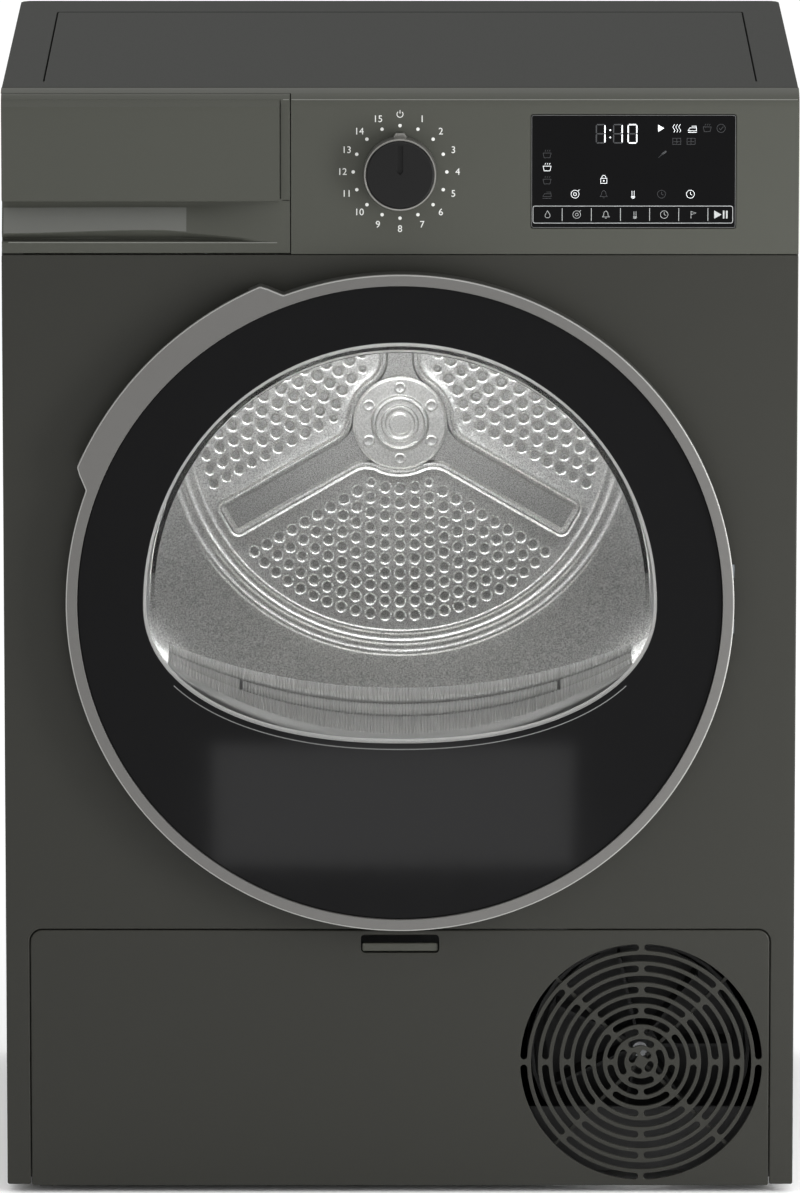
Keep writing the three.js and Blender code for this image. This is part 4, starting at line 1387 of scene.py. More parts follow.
def door_ring(door, plastic, edge_highlight_metal, dark_plastic):
    """Ring round the door with its raised grip, finger scoop and hinge notches."""
    ring, glass, hinge = Extent("door_ring"), Extent("door_glass"), Extent("door_hinge_bracket")
    x, z = glass.centre
    radius, inner, grip = 251.3, 242.7, 264.0
    middle = 135

    def at(r, a):
        """The point at a radius and an angle in degrees from the door's middle."""
        return around((x, z), r, math.radians(a))

    rise = [at(radius, middle - 24.7), at(radius + 9, middle - 22.6), at(grip, middle - 21.6)]
    fall = [at(grip, middle + 21.6), at(radius + 9, middle + 22.6), at(radius, middle + 24.7)]
    bump = rounded(
        [at(radius, middle - 25.6), *rise, *arc(grip, middle - 20.6, middle + 20.6, (x, z), 6), *fall,
         at(radius, middle + 25.6)],
        3.0, 4, closed=False,
    )
    rest = arc(radius, middle + 26.4, middle + 333.6, (x, z), 6)
    outline = bump + rest
    hole = circle(inner, (x, z), FINE_SEGMENTS)
    shape = Shape().slab(
        offset(outline, 0.9), ring.d[0], ring.d[0] + 3, holes=[hole], edge=0.3, back=0.3,
    )
    piece("door_rim", shape, plastic, "door", ("door_ring",))
    # A pale strip round the ring's outer rim: painted highlight along its edge.
    ring_highlight = Shape().slab(
        outline, ring.d[0] + 0.15, ring.d[0] + 3, holes=[offset(outline, 1.0)], edge=0.6, back=0.3,
        hole_edge=0.1,
    )
    piece("door_rim_highlight", ring_highlight, edge_highlight_metal, "door")
    side = Shape().slab(
        offset(outline, 0.35), ring.d[0] + 2.9, ring.d[1], holes=[hole], edge=0.3, back=0.6,
    )
    scoop = arc(grip + 4, middle - 19.5, middle + 19.5, (x, z), 6)
    scoop += arc(radius + 3, middle + 19.5, middle - 19.5, (x, z), 6)
    cuts = [cutter(scoop, -12, 0)]
    axis = hinge.x[0] + HINGE_AXIS
    for low in KNUCKLES:
        notch = rectangle((axis - 4.6, axis + 6), (z + low - 0.4, z + low + (KNUCKLE_HEIGHT + 0.4)))
        cuts.append(cutter(notch, -17.2, 0))
    piece("door_rim_side", side, dark_plastic, "door", cuts=cuts)


def door_glass(door, black, clear, line, rim_highlight_plastic):
    """Outer glass: the printed border, the clear area, a pale seat ring that stands as a painted highlight
    round the window, and a painted highlight line under it.
    """
    reach = Extent("door_glass")
    x, z = reach.centre
    window = window_outline(door)
    border = Shape().slab(
        circle(reach.radius + 0.4, (x, z), FINE_SEGMENTS), *reach.d, holes=[window], edge=0.6, back=0.4,
    )
    piece("door_glass_border", border, black, "door", ("door_glass",))
    pane = Shape().slab(offset(window, 0.04), reach.d[0], reach.d[1], edge=0.05, back=0.05)
    piece("door_glass_clear", pane, clear, "door")
    # The pale seat ring shows as a thin band inside the window's edge: painted highlight along the window's
    # rim.
    window_rim = Shape().slab(
        window_outline(door, 0.6), reach.d[1] + 0.15, reach.d[1] + 1.6, holes=[window_outline(door, -2.3)],
        edge=0.5, back=0.3,
    )
    piece("door_window_seat_highlight", window_rim, rim_highlight_plastic, "door")
    # A pale bead under the window's lower edge: painted highlight standing in for the reflection of the
    # bowl's rim.
    under = [p for p in window_outline(door, 4.6) if p[1] < z - 60]
    under.sort(key=lambda p: p[0])
    highlight_bead = Shape().bead(under, 0.7, 0.12, reach.d[0], sink=0.05, closed=False)
    piece("door_glass_highlight_line", highlight_bead, line, "door")


def door_parts(black, clear, rubber, zinc):
    """What the door carries behind its glass: frame, window bowl, seal and latch hook."""
    x, z = Extent("door_glass").centre
    frame_reach = Extent("door_inner_frame")
    outer, front, back = frame_reach.radius, *frame_reach.d
    profile = [
        (200.5, front), (outer, front), (outer, front + 4.4), (222, front + 4.4), (222, back), (197, back),
        (197, back - 3.5), (218.5, back - 3.5), (218.5, -9), (200.5, -9),
    ]
    shape = Shape().turn(profile, (x, z), soften=1.0)
    for k in range(12):
        boss = around((x, z), 204, math.radians(30 * k + 15))
        shape.turn([(0, back + 0.05), (2.2, back + 0.05), (2.6, back + 0.3), (4.6, back + 0.3),
                    (5.2, back - 0.4), (0, back - 0.4)], boss, count=24)
    piece("door_frame", shape, black, "door", ("door_inner_frame",))

    bowl = Extent("door_window")
    deep = bowl.d[1]
    wall = [
        (0, deep), (168, deep), (184.6, 24), (199.6, -8.4),
        (195.6, -8.4), (180.6, 21.6), (166.6, 29.6), (0, 29.6),
    ]
    shape = Shape().turn(rounded(wall, [0, 9, 6, 1.2, 1.2, 6, 9, 0], 5, closed=False), (x, z))
    piece("door_bowl", shape, clear, "door", ("door_window",))

    seal = Extent("door_seal")
    r = seal.radius
    lips = [
        (r - 13.5, seal.d[0]), (r - 0.5, seal.d[0]), (r, seal.d[0] + 1.4),
        (r - 2.4, seal.d[1]), (r - 4.4, seal.d[1] - 1.6), (r - 8.2, seal.d[1] - 1.6),
        (r - 11, seal.d[1]), (r - 14, seal.d[0] + 1.6),
    ]
    piece("door_gasket", Shape().turn(lips, (x, z), soften=0.7), rubber, "door", ("door_seal",))
    refined("door_latch_hook", zinc, "door", 0.3)
    refined("door_lock", black, "cabinet", 0.5)
    refined("door_hinge_bracket", zinc, "cabinet", 0.2)


# Drum

STAR_ARMS = (90, 210, 330)
ARM_HALF = 14.5
# radius, half width and height of each ring pressed into the rear plate
PRESSED_RINGS = ((167.8, 2.0, 1.1), (175.8, 2.4, 1.5), (184.6, 2.6, 1.3))


def star_outline():
    """The pressed star: a hub with three square-ended arms, joined by smooth fillets."""
    centre = Extent("drum_hub_cover").centre
    hub, half, reach, fillet, corner = 41.0, ARM_HALF, 158.0, 20.0, 7.0
    along = math.sqrt((hub + fillet) ** 2 - (half + fillet) ** 2)
    turn = math.degrees(math.atan2(half + fillet, along))
    straight = (80, 100, 120, 138)
    points = []
    for angle in STAR_ARMS:
        local = arc(hub, -60, -turn, step=3.5)[1:]
        local += arc(fillet, 180 - turn, 90, (along, -(half + fillet)), 3.5)[1:]
        local += [(s, -half) for s in straight]
        local += rounded([(146, -half), (reach, -half), (reach, half), (146, half)],
                         [0, corner, corner, 0], 6)
        local += [(s, half) for s in straight[::-1]]
        local += arc(fillet, -90, -180 + turn, (along, half + fillet), 3.5)[:-1]
        local += arc(hub, turn, 60, step=3.5)[:-1]
        points += [rotated(centre, s, t, math.radians(angle)) for s, t in local]
    return points


def star_gap(point, outline):
    """How far a point lies outside the star, or less than 0 inside it."""
    x, z = Extent("drum_hub_cover").centre
    u, v = point[0] - x, point[1] - z
    for angle in STAR_ARMS:
        a = math.radians(angle)
        s, t = u * math.cos(a) + v * math.sin(a), -u * math.sin(a) + v * math.cos(a)
        if 0 < s < 160 and abs(t) < ARM_HALF:
            return -1
    here = Vector((*point, 0))
    gaps = []
    for p, q in zip(outline, outline[1:] + outline[:1]):
        p, q = Vector((*p, 0)), Vector((*q, 0))
        near, share = geometry.intersect_point_line(here, p, q)
        near = p if share < 0 else q if share > 1 else near
        gaps.append((near - here).length)
    return min(gaps)


def perforations(drum):
    """Middles and radii of the air holes: rows of arcs between the arms, smaller beside them."""
    x, z = Extent("drum_hub_cover").centre
    pitch = drum.pitch / MM
    outline = star_outline()
    holes = []
    for sector in (270, 150, 30):
        for row in range(10):
            r = 52.4 + pitch * row
            step = 11.8 / r
            count = int(math.radians(60) / step)
            for k in range(-count, count + 1):
                place = around((x, z), r, math.radians(sector) + k * step)
                gap = star_gap(place, outline)
                if gap > 11.4:
                    holes.append((place, drum.hole / MM / 2))
                elif gap > 8.4:
                    holes.append((place, drum.hole / MM / 2 * 0.72))
    return holes


def drum_back(drum, steel, shaded_steel, edge_highlight_steel):
    """Rear plate of the drum: perforated field, pressed star, pressed rings and rolled rim."""
    reach = Extent("drum_back")
    x, z = Extent("drum_hub_cover").centre
    face = reach.d[0] + 2
    shape = Shape()
    rings = []
    for (u, v), r in perforations(drum):
        outline = circle(r + 1.5, (u, v), 18)
        rings.append((outline, shape.ring(outline, face)))
        levels = [(r + 0.9, 0.35), (r + 0.25, 1.3), (r, 2.2), (r - 0.35, 2.6)]
        rows = [rings[-1][1]] + [shape.ring(circle(q, (u, v), 18), face + w) for q, w in levels]
        shape.skin(rows)
    star = star_outline()
    slope = [
        (3.6, 0.0), (2.4, -0.9), (1.4, -0.6), (0.4, 0.5),
        (-0.6, 0.5), (-1.7, -0.7), (-2.8, -0.5), (-4.2, 2.2),
    ]
    lines = []
    for grow, w in slope:
        outline = offset(star, -grow)
        lines.append((outline, shape.ring(outline, face + w)))
    shape.skin([row for _, row in lines])
    pressed = []
    for middle, half, high in PRESSED_RINGS:
        for share, lift in ((1, 0), (0.55, 0.75), (0, 1), (-0.55, 0.75), (-1, 0)):
            pressed.append((middle - half * share, -high * lift))
    hoops = []
    for r, w in pressed:
        outline = circle(r, (x, z), FINE_SEGMENTS)
        hoops.append((outline, shape.ring(outline, face + w)))
    shape.skin([row for _, row in hoops])
    rim = [
        (193, 0.2), (205, 1.4), (225, 1.6), (245, 0.2), (258, -3.6), (267, -9), (272.6, -17), (272.9, -19),
    ]
    rolled = [shape.ring(circle(r, (x, z), FINE_SEGMENTS), face + w) for r, w in rim]
    shape.skin([hoops[-1][1], *rolled])

    shape.fill([hoops[0], lines[0], *rings])
    obj = solid(shape, "drum_rear_plate")
    wall = obj.modifiers.new("sheet", "SOLIDIFY")
    wall.thickness = 0.9 * MM
    wall.offset = -1
    settle(obj)
    shade(obj, math.radians(50))
    attach(obj, steel, "drum", ("drum_back",))

    # A backing plate in darker steel behind the holes: painted shade inside the holes.
    guide = Shape().turn(
        [(46, face + 3.15), (164, face + 3.15), (164, face + 3.45), (46, face + 3.45)], (x, z),
    )
    piece("drum_air_guide", guide, shaded_steel, "drum")
    # The star's floor in darker steel: painted shade on the pressed arms.
    floor = Shape().slab(offset(star, 4.0), face + 2.1, face + 2.9, edge=0.1, back=0.1)
    piece("drum_star", floor, shaded_steel, "drum")
    # Pale beads along the star's outline and the pressed rings: painted highlights on their edges.
    trace = Shape()
    for grow in (2.2, -2.0):
        trace.bead(offset(star, -grow), 1.3, 0.55, face - 0.75, sink=0.3)
    for r, _, high in PRESSED_RINGS:
        trace.bead(circle(r, (x, z), FINE_SEGMENTS), 1.2, 0.4, face - high + 0.05, sink=0.3)
    piece("drum_edge_highlights", trace, edge_highlight_steel, "drum")


def hub(steel, zinc):
    """Hub cover with its boss and six rivets, and the axle behind it."""
    cover = Extent("drum_hub_cover")
    front, rest = cover.d
    profile = [
        (0, front + 1.6), (7.5, front + 1.6), (9, front + 2.6), (11, front + 2.6), (12, front + 0.9),
        (14, front + 0.9), (15, front + 2.4), (18.5, front + 2.4), (19.5, front), (21.5, front + 0.4),
        (23.0, front + 3.2), (35.2, front + 3.4), (37.2, front + 4.6), (37.4, rest), (0, rest),
    ]
    shape = Shape().turn(profile, cover.centre, soften=0.5)
    d = front + 3.3
    head = [
        (0, d - 0.2), (2.4, d - 0.2), (3.2, d - 0.6), (4.2, d - 0.6), (5.0, d - 0.1), (5.2, d + 0.4),
        (0, d + 0.4),
    ]
    for k in range(6):
        shape.turn(head, around(cover.centre, 28.4, math.radians(90 + 60 * k)), count=36)
    piece("hub_cover", shape, steel, "drum", ("drum_hub_cover",))
    shaft = Shape().turn(
        [(0, 423.6), (40, 423.6), (40, 429), (12.5, 430), (12.5, 463), (11.5, 464), (0, 464)], cover.centre,
        count=64,
    )
    piece("drum_axle", shaft, zinc, "drum", ("drum_shaft",))


def drum_wall(steel, grey, felt):
    """Drum wall with rolled beads, its three lifters, and the felt ring it runs against."""
    reach = Extent("drum_shell")
    r, (front, back) = reach.radius, reach.d
    outer = [(258, front), (r - 2, front), (r, front + 2)]
    walls = []
    for middle in (front + 60, front + 150, front + 240):
        walls += [(middle - 9, 0), (middle - 4, 2.0), (middle, 2.6), (middle + 4, 2.0), (middle + 9, 0)]
    outside = [(r - lift - 0.01, d) for d, lift in walls]
    inside = [(r - 1.4 - lift, d) for d, lift in walls]
    profile = [
        *outer, *outside, (r, back), (r - 1.4, back), *inside[::-1], (r - 1.4, front + 4),
        (r - 3.4, front + 1.4), (258, front + 1.4),
    ]
    piece("drum_wall", Shape().turn(profile, reach.centre), steel, "drum", ("drum_shell",))

    section = rounded(
        [(-26, -271), (26, -271), (13, -240), (8.5, -229), (-8.5, -229), (-13, -240)],
        [2, 2, 14, 6, 6, 14], 5,
    )
    for k, angle in enumerate(STAR_ARMS):
        node = f"drum_lifter_{k + 1}"
        a = math.radians(angle + 90)
        turned = [rotated(reach.centre, u, v, a) for u, v in section]
        lifter = Shape().slab(turned, 117, 412, edge=1.4, back=1.4, steps=4)
        for row in range(9):
            for side in (-1, 1):
                d = 140 + row * 30
                spot = rotated(reach.centre, side * 11.8, -244, a)
                lifter.turn([(0, d - 3), (2.2, d - 2.2), (2.2, d + 2.2), (0, d + 3)], spot, count=12)
        piece(f"lifter_{k + 1}", lifter, grey, "drum", (node,))

    ring = Extent("drum_front_seal")
    r, (front, back) = ring.radius, ring.d
    band = [(r - 10, front), (r, front), (r, back - 0.6), (r - 3, back), (r - 8, back)]
    strip = Shape().turn(band, ring.centre, soften=1.0)
    piece("felt_ring", strip, felt, "cabinet", ("drum_front_seal",))


LIP_TIERS = (
    # depth, height at the middle, radius of its curve across, share of rib
    (36.6, 339.6, 295, 0.0), (37.4, 341.2, 295, 0.0), (40.5, 343.4, 298, 0.0), (44.0, 346.4, 305, 0.0),
    (45.0, 347.4, 310, 0.5), (52.0, 351.6, 330, 1.0), (61.6, 356.6, 362, 1.0), (62.4, 356.0, 364, 0.0),
    (63.8, 356.4, 370, 0.0), (64.2, 357.6, 370, 0.7), (71.0, 361.0, 390, 1.0), (76.0, 363.4, 405, 0.9),
    (76.4, 362.8, 406, 0.0), (77.6, 363.4, 412, 0.0), (78.4, 366.2, 415, 0.6), (84.0, 369.4, 430, 1.0),
    (92.0, 371.6, 455, 1.0), (95.6, 371.8, 470, 0.9), (96.3, 370.0, 470, 0.6),
)
RIB_PITCH = 2.4


def ribbed(shape, tiers, span, floor):
    """A ribbed strip across the opening: its curved top over tiers, closed down to a floor."""
    x = Extent("door_glass").centre[0]
    low_x, high_x = span
    columns = round((high_x - low_x) / RIB_PITCH * 8)
    rows = []
    for d, low, radius, rib in tiers:
        row = []
        for k in range(columns + 1):
            u = low_x + (high_x - low_x) * k / columns
            rise = radius - math.sqrt(radius ** 2 - u ** 2)
            wave = 0.75 * rib * math.cos(math.tau * u / RIB_PITCH)
            row.append(shape.vert(x + u, d - wave * 0.4, low + rise + wave * 0.6))
        rows.append(row)
    feet = []
    for row in (rows[0], rows[-1]):
        feet.append([
            shape.vert(v.co.x / MM, v.co.y / MM - FRONT, min(floor(v.co.x / MM - x), v.co.z / MM - 0.4))
            for v in row
        ])
    shape.skin([feet[0], *rows, feet[1], feet[0]], closed=False)
    for k in (0, -1):
        shape.mesh.faces.new([row[k] for row in rows] + [feet[1][k], feet[0][k]])


def filter_lip(lip, grey):
    """The ribbed lip under the door opening, its slot, and the lint filter that drops into it."""
    z = Extent("door_glass").centre[1]
    screen = Extent("lint_filter")
    throat, half, slot = 195.2, 176.0, screen.x[1] + 2

    def wall(u):
        return z - math.sqrt(throat ** 2 - u ** 2)

    shape = Shape()
    ribbed(shape, LIP_TIERS[:8], (-half, half), wall)
    ribbed(shape, LIP_TIERS[13:], (-half, half), wall)
    for span in ((-half, -slot), (slot, half)):
        ribbed(shape, LIP_TIERS[7:14], span, wall)
    piece("filter_lip", shape, lip, "cabinet", ("filter_housing",), angle=math.radians(60))

    cap = Shape()
    ribbed(cap, LIP_TIERS[9:12], (-screen.x[1] + 0.3, screen.x[1] - 0.3), lambda u: screen.z[1] - 16)
    piece("filter_cap", cap, lip, "lint_screen", angle=math.radians(60))
    low, high = screen.z[0], screen.z[1] - 15
    panes = []
    for u in ((3, screen.x[1] - 7), (7 - screen.x[1], -3)):
        panes.append(rectangle(u, (low + 7, screen.z[1] - 59), 3))
    body = Shape().slab(
        rectangle(screen.x, (low, high), 3), screen.d[0], screen.d[1], holes=panes, edge=0.8, back=0.8,
    )
    piece("filter_frame", body, grey, "lint_screen", ("lint_filter",))
    mesh = Shape()
    for side in (-1, 1):
        span = (4, screen.x[1] - 8)
        for k in range(27):
            u = side * (span[0] + (span[1] - span[0]) * (k + 0.5) / 27)
            mesh.slab(rectangle((u - 0.35, u + 0.35), (screen.z[0] + 8, screen.z[1] - 60)),
                      screen.d[0] + 3.6, screen.d[0] + 4.2, edge=0, back=0)
        for k in range(26):
            v = screen.z[0] + 8 + (screen.z[1] - 60 - screen.z[0] - 8) * (k + 0.5) / 26
            u0, u1 = sorted((side * span[0], side * span[1]))
            mesh.slab(rectangle((u0, u1), (v - 0.35, v + 0.35)), screen.d[0] + 3.0, screen.d[0] + 3.5,
                      edge=0, back=0)
    piece("filter_mesh", mesh, grey, "lint_screen")


def bulkhead(zinc):
    """Front bulkhead plate with the turned throat the laundry goes through."""
    reach = Extent("front_bulkhead")
    x, z = Extent("door_glass").centre
    plate_d, low, side, shoulder = reach.d[1], reach.z[0], reach.x[1], 700
    cap = [p for p in circle(283, Extent("drum_back").centre) if p[1] > shoulder]
    cap.sort(key=lambda p: -p[0])
    corners = rounded([(-side, shoulder), (-side, low), (side, low), (side, shoulder)], [0, 12, 12, 0], 5)
    shape = Shape().slab(
        corners + cap, plate_d - 2, plate_d, holes=[circle(197, (x, z))], edge=0.4, back=0.4,
    )
    throat = [
        (196, 34), (222, 34), (224, 35.2), (224, 37), (222.6, 37), (221.6, 35.8), (199, 35.8),
        (198, 38), (198, plate_d - 1), (196, plate_d - 1),
    ]
    shape.turn(throat, (x, z), soften=0.5)
    piece("bulkhead_plate", shape, zinc, "cabinet", ("front_bulkhead",))
    refined("air_duct_front", MATERIALS["grey_plastic"], "cabinet", 0.4)


# Works behind the panels

def works():
    """Everything between the panels: motor, fans, belt, rollers, condenser, pump and tray."""
    plain = [
        ("base_tray", "black_plastic", "cabinet", 0.8), ("knob_encoder", "black_plastic", "cabinet", 0.4),
        ("rear_bearing_bracket", "galvanised", "cabinet", 0.5),
        ("roller_bracket_left", "galvanised", "cabinet", 0.3),
        ("roller_bracket_right", "galvanised", "cabinet", 0.3),
        ("motor_body", "motor_casing", "cabinet", 1.0),
        ("cooling_fan_housing", "black_plastic", "cabinet", 0.5),
        ("process_fan_housing", "grey_plastic", "cabinet", 0.5), ("drum_belt", "rubber", "cabinet", 0.3),
        ("idler_arm", "galvanised", "cabinet", 0.3), ("condenser_cassette", "exchanger", "cabinet", 1.2),
        ("condensate_pump", "black_plastic", "cabinet", 1.0), ("heater_duct", "galvanised", "cabinet", 0.4),
        ("motor_shaft", "motor_casing", "motor_rotor", 0.3),
        ("cooling_fan", "black_plastic", "motor_rotor", 0.4),
        ("process_fan", "grey_plastic", "motor_rotor", 0.4),
        ("idler_pulley", "black_plastic", "idler", 0.6),
        ("drum_roller_left", "black_plastic", "roller_left", 1.2),
        ("drum_roller_right", "black_plastic", "roller_right", 1.2),
    ]
    for node, slot, body, bevel in plain:
        refined(node, MATERIALS[slot], body, bevel)


MATERIALS = {}


def mix_materials(scene):
    """Makes every finish from the colours that the user may change."""
    casing, controls = scene.dryer_casing, scene.dryer_controls
    door, drum = scene.dryer_door, scene.dryer_drum
    x, z = Extent("knob_cap").centre
    MATERIALS.update({
        "cabinet_paint": painted_sheet("Graphite paint", casing.paint),
        "top_plastic": moulded("Graphite top", casing.top, 0.6, 0.12, 1100.0),
        "fascia_plastic": moulded("Graphite moulding", controls.fascia, 0.5, 0.2, 2200.0, 0.00003),
        "door_trim": moulded("Satin ring", door.ring, 0.42, 0.35, 2600.0, 0.00002, 0.3),
        "black_gloss": black_glass("Printed glass", door.glass),
        "display_gloss": black_glass("Display glass", srgb(4, 4, 5)),
        "black_plastic": moulded("Black moulding", srgb(34, 34, 34), 0.5),
        "knob_cap": moulded("Dial cap", controls.dial_cap, 0.5, 0.25, 2600.0, 0.00002),
        "knob_metal": brushed_ring("Turned ring", controls.dial_ring, (x * MM, 0.0, z * MM)),
        "window_glass": clear_glass("Window glass", (0.97, 0.97, 0.97)),
        "bowl_glass": clear_glass("Bowl glass", (0.97, 0.97, 0.97), 1.1),
        "drum_steel": drum_steel("Drum steel", drum.bright, drum.dark),
        "hub_steel": drum_steel("Hub steel", srgb(226, 226, 224), srgb(178, 178, 176)),
        # A darker copy of the drum steel: painted shade for the star's floor and the plate behind the
        # holes.
        "shade_steel": drum_steel("Painted shade steel", srgb(204, 204, 202), srgb(134, 134, 132)),
        # Bright finish for the drum's edge beads: painted highlight.
        "drum_highlight_steel": moulded("Painted drum edge highlight", srgb(236, 236, 234), 0.38, 0.5, 2600.0, 0.00001, 0.45),
        # A lighter moulding for the brow and lip beads: painted highlight.
        "brow_sheen": moulded("Painted brow highlight", srgb(112, 113, 108), 0.42, 0.3, 2600.0, 0.00001),
        # Lighter plastic for the ramp strip: painted highlight.
        "painted_grip_highlight": moulded("Painted grip highlight", srgb(95, 96, 92), 0.5, 0.3, 2600.0, 0.00001),
        # Pale finish for the ring's rim: painted highlight.
        "painted_ring_highlight": moulded("Painted ring edge highlight", srgb(158, 158, 155), 0.34, 0.5, 2600.0, 0.00001, 0.4),
        "ring_side": moulded("Ring side", srgb(60, 60, 57), 0.5, 0.25, 2600.0, 0.00002),
        # Near-white plastic for the seat ring: painted highlight round the window.
        "window_rim_highlight": moulded("Painted window rim highlight", srgb(216, 216, 214), 0.4, 0.4, 2600.0, 0.00002, 0.2),
        "galvanised": galvanised_sheet("Zinc sheet", srgb(176, 180, 183)),
        "motor_casing": cast_metal("Cast end shield", srgb(168, 170, 172)),
        "grey_plastic": moulded("Grey moulding", srgb(128, 129, 130), 0.52),
        "lip_plastic": moulded("Filter lip", srgb(134, 134, 132), 0.4, 0.4, 900.0, 0.0001, 0.3),
        "tank_plastic": milky_plastic("Tank plastic", srgb(226, 227, 222)),
        "rubber": rubbery("Rubber", srgb(26, 26, 26)),
        "felt": felted("Felt", srgb(186, 181, 168)),
        "exchanger": cast_metal("Exchanger fins", srgb(190, 193, 195), 900.0, 0.0002),
        # The printed marks get a faint glow: painted light that brightens the print.
        "print": ink("Printed marks", controls.print, 0.1),
        "lit": ink("Lit marks", srgb(235, 238, 240), 0.9),
        "soft": ink("Soft marks", srgb(176, 178, 178), 0.25),
        "dim": ink("Unlit marks", srgb(70, 71, 73)),
        # Pale lines: painted highlights on the display's edge and under the door window.
        "glass_edge_highlight": ink("Painted glass edge highlight", srgb(120, 121, 120)),
    })


# The stage

def stage(settings):
    """Pale floor, soft room light, a key light on the right, an overhead light, a low panel, the
    lamps in the drum, and the camera."""
    grid = bmesh.new()
    bmesh.ops.create_grid(grid, x_segments=40, y_segments=40, size=45.0)
    mesh = bpy.data.meshes.new("floor")
    grid.to_mesh(mesh)
    grid.free()
    floor = bpy.data.objects.new("floor", mesh)
    floor.location.z = -0.0005
    bpy.context.scene.collection.objects.link(floor)
    floor.data.materials.append(floor_finish("Floor", settings.floor))

    world = bpy.data.worlds.new("Room")
    world.use_nodes = True
    nodes, links = world.node_tree.nodes, world.node_tree.links
    split = nodes.new("ShaderNodeSeparateXYZ")
    links.new(nodes.new("ShaderNodeTexCoord").outputs["Generated"], split.inputs["Vector"])
    rise = nodes.new("ShaderNodeMath")
    rise.operation = "MULTIPLY_ADD"
    rise.use_clamp = False
    links.new(split.outputs["Z"], rise.inputs[0])
    rise.inputs[1].default_value = settings.zenith - settings.horizon
    rise.inputs[2].default_value = settings.horizon
    links.new(rise.outputs["Value"], nodes["Background"].inputs["Strength"])
    nodes["Background"].inputs["Color"].default_value = (1.0, 1.0, 1.0, 1.0)
    bpy.context.scene.world = world

    front = FRONT * MM
    lamp("key", (1.1, front - 0.65, 0.42), (0.1, front, 0.38), (0.4, 1.1), settings.key)
    lamp("overhead", (0.0, front - 0.9, 3.2), (0.0, front + 0.2, 0.6), (2.4, 1.6), settings.key * 0.2)
    lamp("low_panel", (-0.006, front - 1.0, 0.094), (-0.006, front, 0.3), (0.305, 0.105), 0.3)
    drum = Extent("drum_shell")
    x, z = drum.centre
    place = (0.0, (FRONT + drum.d[0] + 16) * MM, (z + 215) * MM)
    aim = (0.0, (FRONT + drum.d[1]) * MM, (z - 60) * MM)
    lamp("drum_lamp", place, aim, (0.3, 0.07), settings.lamp)
    for side in (-1, 1):
        place = (side * 0.185, (FRONT + drum.d[0] + 18) * MM, (z + 110) * MM)
        aim = (-side * 0.2, (FRONT + drum.d[0] + 150) * MM, (z - 140) * MM)
        lamp(f"drum_side_lamp_{side + 1}", place, aim, (0.05, 0.16), settings.lamp * 0.22)

    tilt = math.radians(11.039)
    distance, height = 8.5351, 2.1266
    camera = bpy.data.cameras.new("camera")
    camera.sensor_width = 36.0
    camera.sensor_fit = "VERTICAL"
    camera.sensor_height = 36.0
    camera.lens = 348.4
    camera.clip_end = 300.0
    view = bpy.data.objects.new("camera", camera)
    view.location = (0.0, front - distance, height)
    view.rotation_euler = (math.pi / 2 - tilt, 0.0, 0.0)
    bpy.context.scene.collection.objects.link(view)
    bpy.context.scene.camera = view
    bpy.context.scene.view_settings.view_transform = "Standard"


def lamp(name, place, aim, size, power):
    """A rectangular soft light pointed at a place."""
    light = bpy.data.lights.new(name, "AREA")
    light.shape = "RECTANGLE"
    light.size, light.size_y = size
    light.energy = power
    obj = bpy.data.objects.new(name, light)
    obj.location = place
    obj.rotation_euler = (Vector(aim) - Vector(place)).to_track_quat("-Z", "Y").to_euler()
    obj.visible_camera = False
    bpy.context.scene.collection.objects.link(obj)


# Operators

class DRYER_OT_finishes(bpy.types.Operator):
    """Make the paints, plastics, glasses and metals"""

    bl_idname = "dryer.finishes"
    bl_label = "Finishes"

    def execute(self, context):
        mix_materials(context.scene)
        return {"FINISHED"}


class DRYER_OT_stage(bpy.types.Operator):
    """Set the floor, the lights and the camera"""

    bl_idname = "dryer.stage"
    bl_label = "Stage"

    def execute(self, context):
        stage(context.scene.dryer_stage)
        return {"FINISHED"}


class DRYER_OT_casing(bpy.types.Operator):
    """Build the side, rear and top panels and the feet"""

    bl_idname = "dryer.casing"
    bl_label = "Casing"

    def execute(self, context):
        side_panels(MATERIALS["cabinet_paint"])
        rear(MATERIALS["galvanised"], MATERIALS["black_plastic"])
        top(MATERIALS["top_plastic"])
        feet(MATERIALS["rubber"])
        return {"FINISHED"}


class DRYER_OT_front(bpy.types.Operator):
    """Build the front panel and the service flap"""

    bl_idname = "dryer.front"
    bl_label = "Front panel and flap"

    def execute(self, context):
        casing = context.scene.dryer_casing
        front_sheet(casing, MATERIALS["cabinet_paint"])
        service_flap(casing, MATERIALS["cabinet_paint"], MATERIALS["fascia_plastic"])
        return {"FINISHED"}


class DRYER_OT_fascia(bpy.types.Operator):
    """Build the control fascia"""

    bl_idname = "dryer.fascia"
    bl_label = "Fascia"

    def execute(self, context):
        fascia(MATERIALS["fascia_plastic"], MATERIALS["brow_sheen"])
        return {"FINISHED"}


class DRYER_OT_dial(bpy.types.Operator):
    """Build the programme dial with its dots and figures"""

    bl_idname = "dryer.dial"
    bl_label = "Programme dial"

    def execute(self, context):
        dial(MATERIALS["knob_metal"], MATERIALS["knob_cap"])
        dots_and_figures(context.scene.dryer_controls, MATERIALS["print"])
        return {"FINISHED"}


class DRYER_OT_display(bpy.types.Operator):
    """Build the display"""

    bl_idname = "dryer.display"
    bl_label = "Display"

    def execute(self, context):
        display(
            MATERIALS["display_gloss"], MATERIALS["lit"], MATERIALS["soft"], MATERIALS["dim"],
            MATERIALS["glass_edge_highlight"],
        )
        return {"FINISHED"}


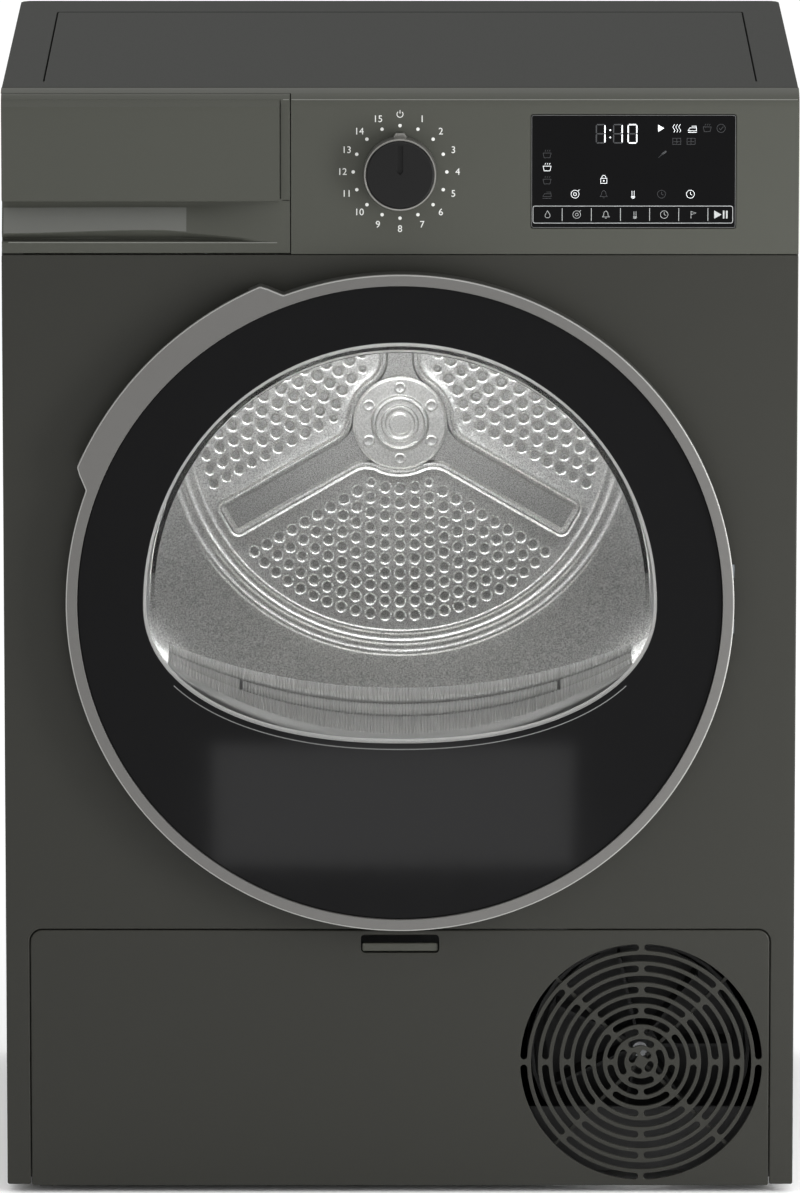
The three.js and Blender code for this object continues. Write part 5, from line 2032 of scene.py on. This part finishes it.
class DRYER_OT_drawer(bpy.types.Operator):
    """Build the water drawer and its tank"""

    bl_idname = "dryer.drawer"
    bl_label = "Water drawer"

    def execute(self, context):
        drawer(
            MATERIALS["fascia_plastic"], MATERIALS["tank_plastic"], MATERIALS["grey_plastic"],
            MATERIALS["brow_sheen"], MATERIALS["painted_grip_highlight"],
        )
        return {"FINISHED"}


class DRYER_OT_door(bpy.types.Operator):
    """Build the door: ring, glass, frame, window bowl, seal, latch and hinge"""

    bl_idname = "dryer.door"
    bl_label = "Door"

    def execute(self, context):
        door = context.scene.dryer_door
        door_ring(door, MATERIALS["door_trim"], MATERIALS["painted_ring_highlight"], MATERIALS["ring_side"])
        door_glass(
            door, MATERIALS["black_gloss"], MATERIALS["window_glass"], MATERIALS["glass_edge_highlight"],
            MATERIALS["window_rim_highlight"],
        )
        door_parts(
            MATERIALS["black_plastic"], MATERIALS["bowl_glass"], MATERIALS["rubber"],
            MATERIALS["galvanised"],
        )
        return {"FINISHED"}


class DRYER_OT_drum(bpy.types.Operator):
    """Build the drum: rear plate, hub, wall, lifters and felt"""

    bl_idname = "dryer.drum"
    bl_label = "Drum"

    def execute(self, context):
        drum_back(
            context.scene.dryer_drum, MATERIALS["drum_steel"], MATERIALS["shade_steel"],
            MATERIALS["drum_highlight_steel"],
        )
        hub(MATERIALS["hub_steel"], MATERIALS["galvanised"])
        drum_wall(MATERIALS["drum_steel"], MATERIALS["grey_plastic"], MATERIALS["felt"])
        return {"FINISHED"}


class DRYER_OT_throat(bpy.types.Operator):
    """Build the bulkhead, its throat, the filter lip and the filter"""

    bl_idname = "dryer.throat"
    bl_label = "Throat and filter"

    def execute(self, context):
        filter_lip(MATERIALS["lip_plastic"], MATERIALS["grey_plastic"])
        bulkhead(MATERIALS["galvanised"])
        return {"FINISHED"}


class DRYER_OT_works(bpy.types.Operator):
    """Finish the motor, fans, belt, rollers, condenser and pump"""

    bl_idname = "dryer.works"
    bl_label = "Works"

    def execute(self, context):
        works()
        return {"FINISHED"}


class DRYER_PT_build(bpy.types.Panel):
    """The dryer's settings and its building steps"""

    bl_idname = "DRYER_PT_build"
    bl_label = "Clothes dryer"
    bl_space_type = "VIEW_3D"
    bl_region_type = "UI"
    bl_category = "Dryer"

    def draw(self, context):
        for label, group in GROUPS.items():
            box = self.layout.box()
            settings = getattr(context.scene, label)
            for name in group.__annotations__:
                box.prop(settings, name)
        for operator in OPERATORS:
            self.layout.operator(operator.bl_idname)


GROUPS = {
    "dryer_casing": DryerCasing, "dryer_controls": DryerControls, "dryer_door": DryerDoor,
    "dryer_drum": DryerDrum, "dryer_stage": DryerStage,
}
OPERATORS = (
    DRYER_OT_finishes, DRYER_OT_stage, DRYER_OT_casing, DRYER_OT_front, DRYER_OT_fascia, DRYER_OT_dial,
    DRYER_OT_display, DRYER_OT_drawer, DRYER_OT_door, DRYER_OT_drum, DRYER_OT_throat, DRYER_OT_works,
)


def register():
    for kind in (*GROUPS.values(), *OPERATORS, DRYER_PT_build):
        bpy.utils.register_class(kind)
    for label, group in GROUPS.items():
        setattr(bpy.types.Scene, label, PointerProperty(type=group))


def unregister():
    for label in GROUPS:
        delattr(bpy.types.Scene, label)
    for kind in reversed((*GROUPS.values(), *OPERATORS, DRYER_PT_build)):
        bpy.utils.unregister_class(kind)


def main():
    """Registers the add-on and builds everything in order."""
    register()
    bpy.ops.dryer.finishes()
    bpy.ops.dryer.stage()
    bpy.ops.dryer.casing()
    bpy.ops.dryer.front()
    bpy.ops.dryer.fascia()
    bpy.ops.dryer.dial()
    bpy.ops.dryer.display()
    bpy.ops.dryer.drawer()
    bpy.ops.dryer.door()
    bpy.ops.dryer.drum()
    bpy.ops.dryer.throat()
    bpy.ops.dryer.works()


if __name__ == "__main__":
    main()
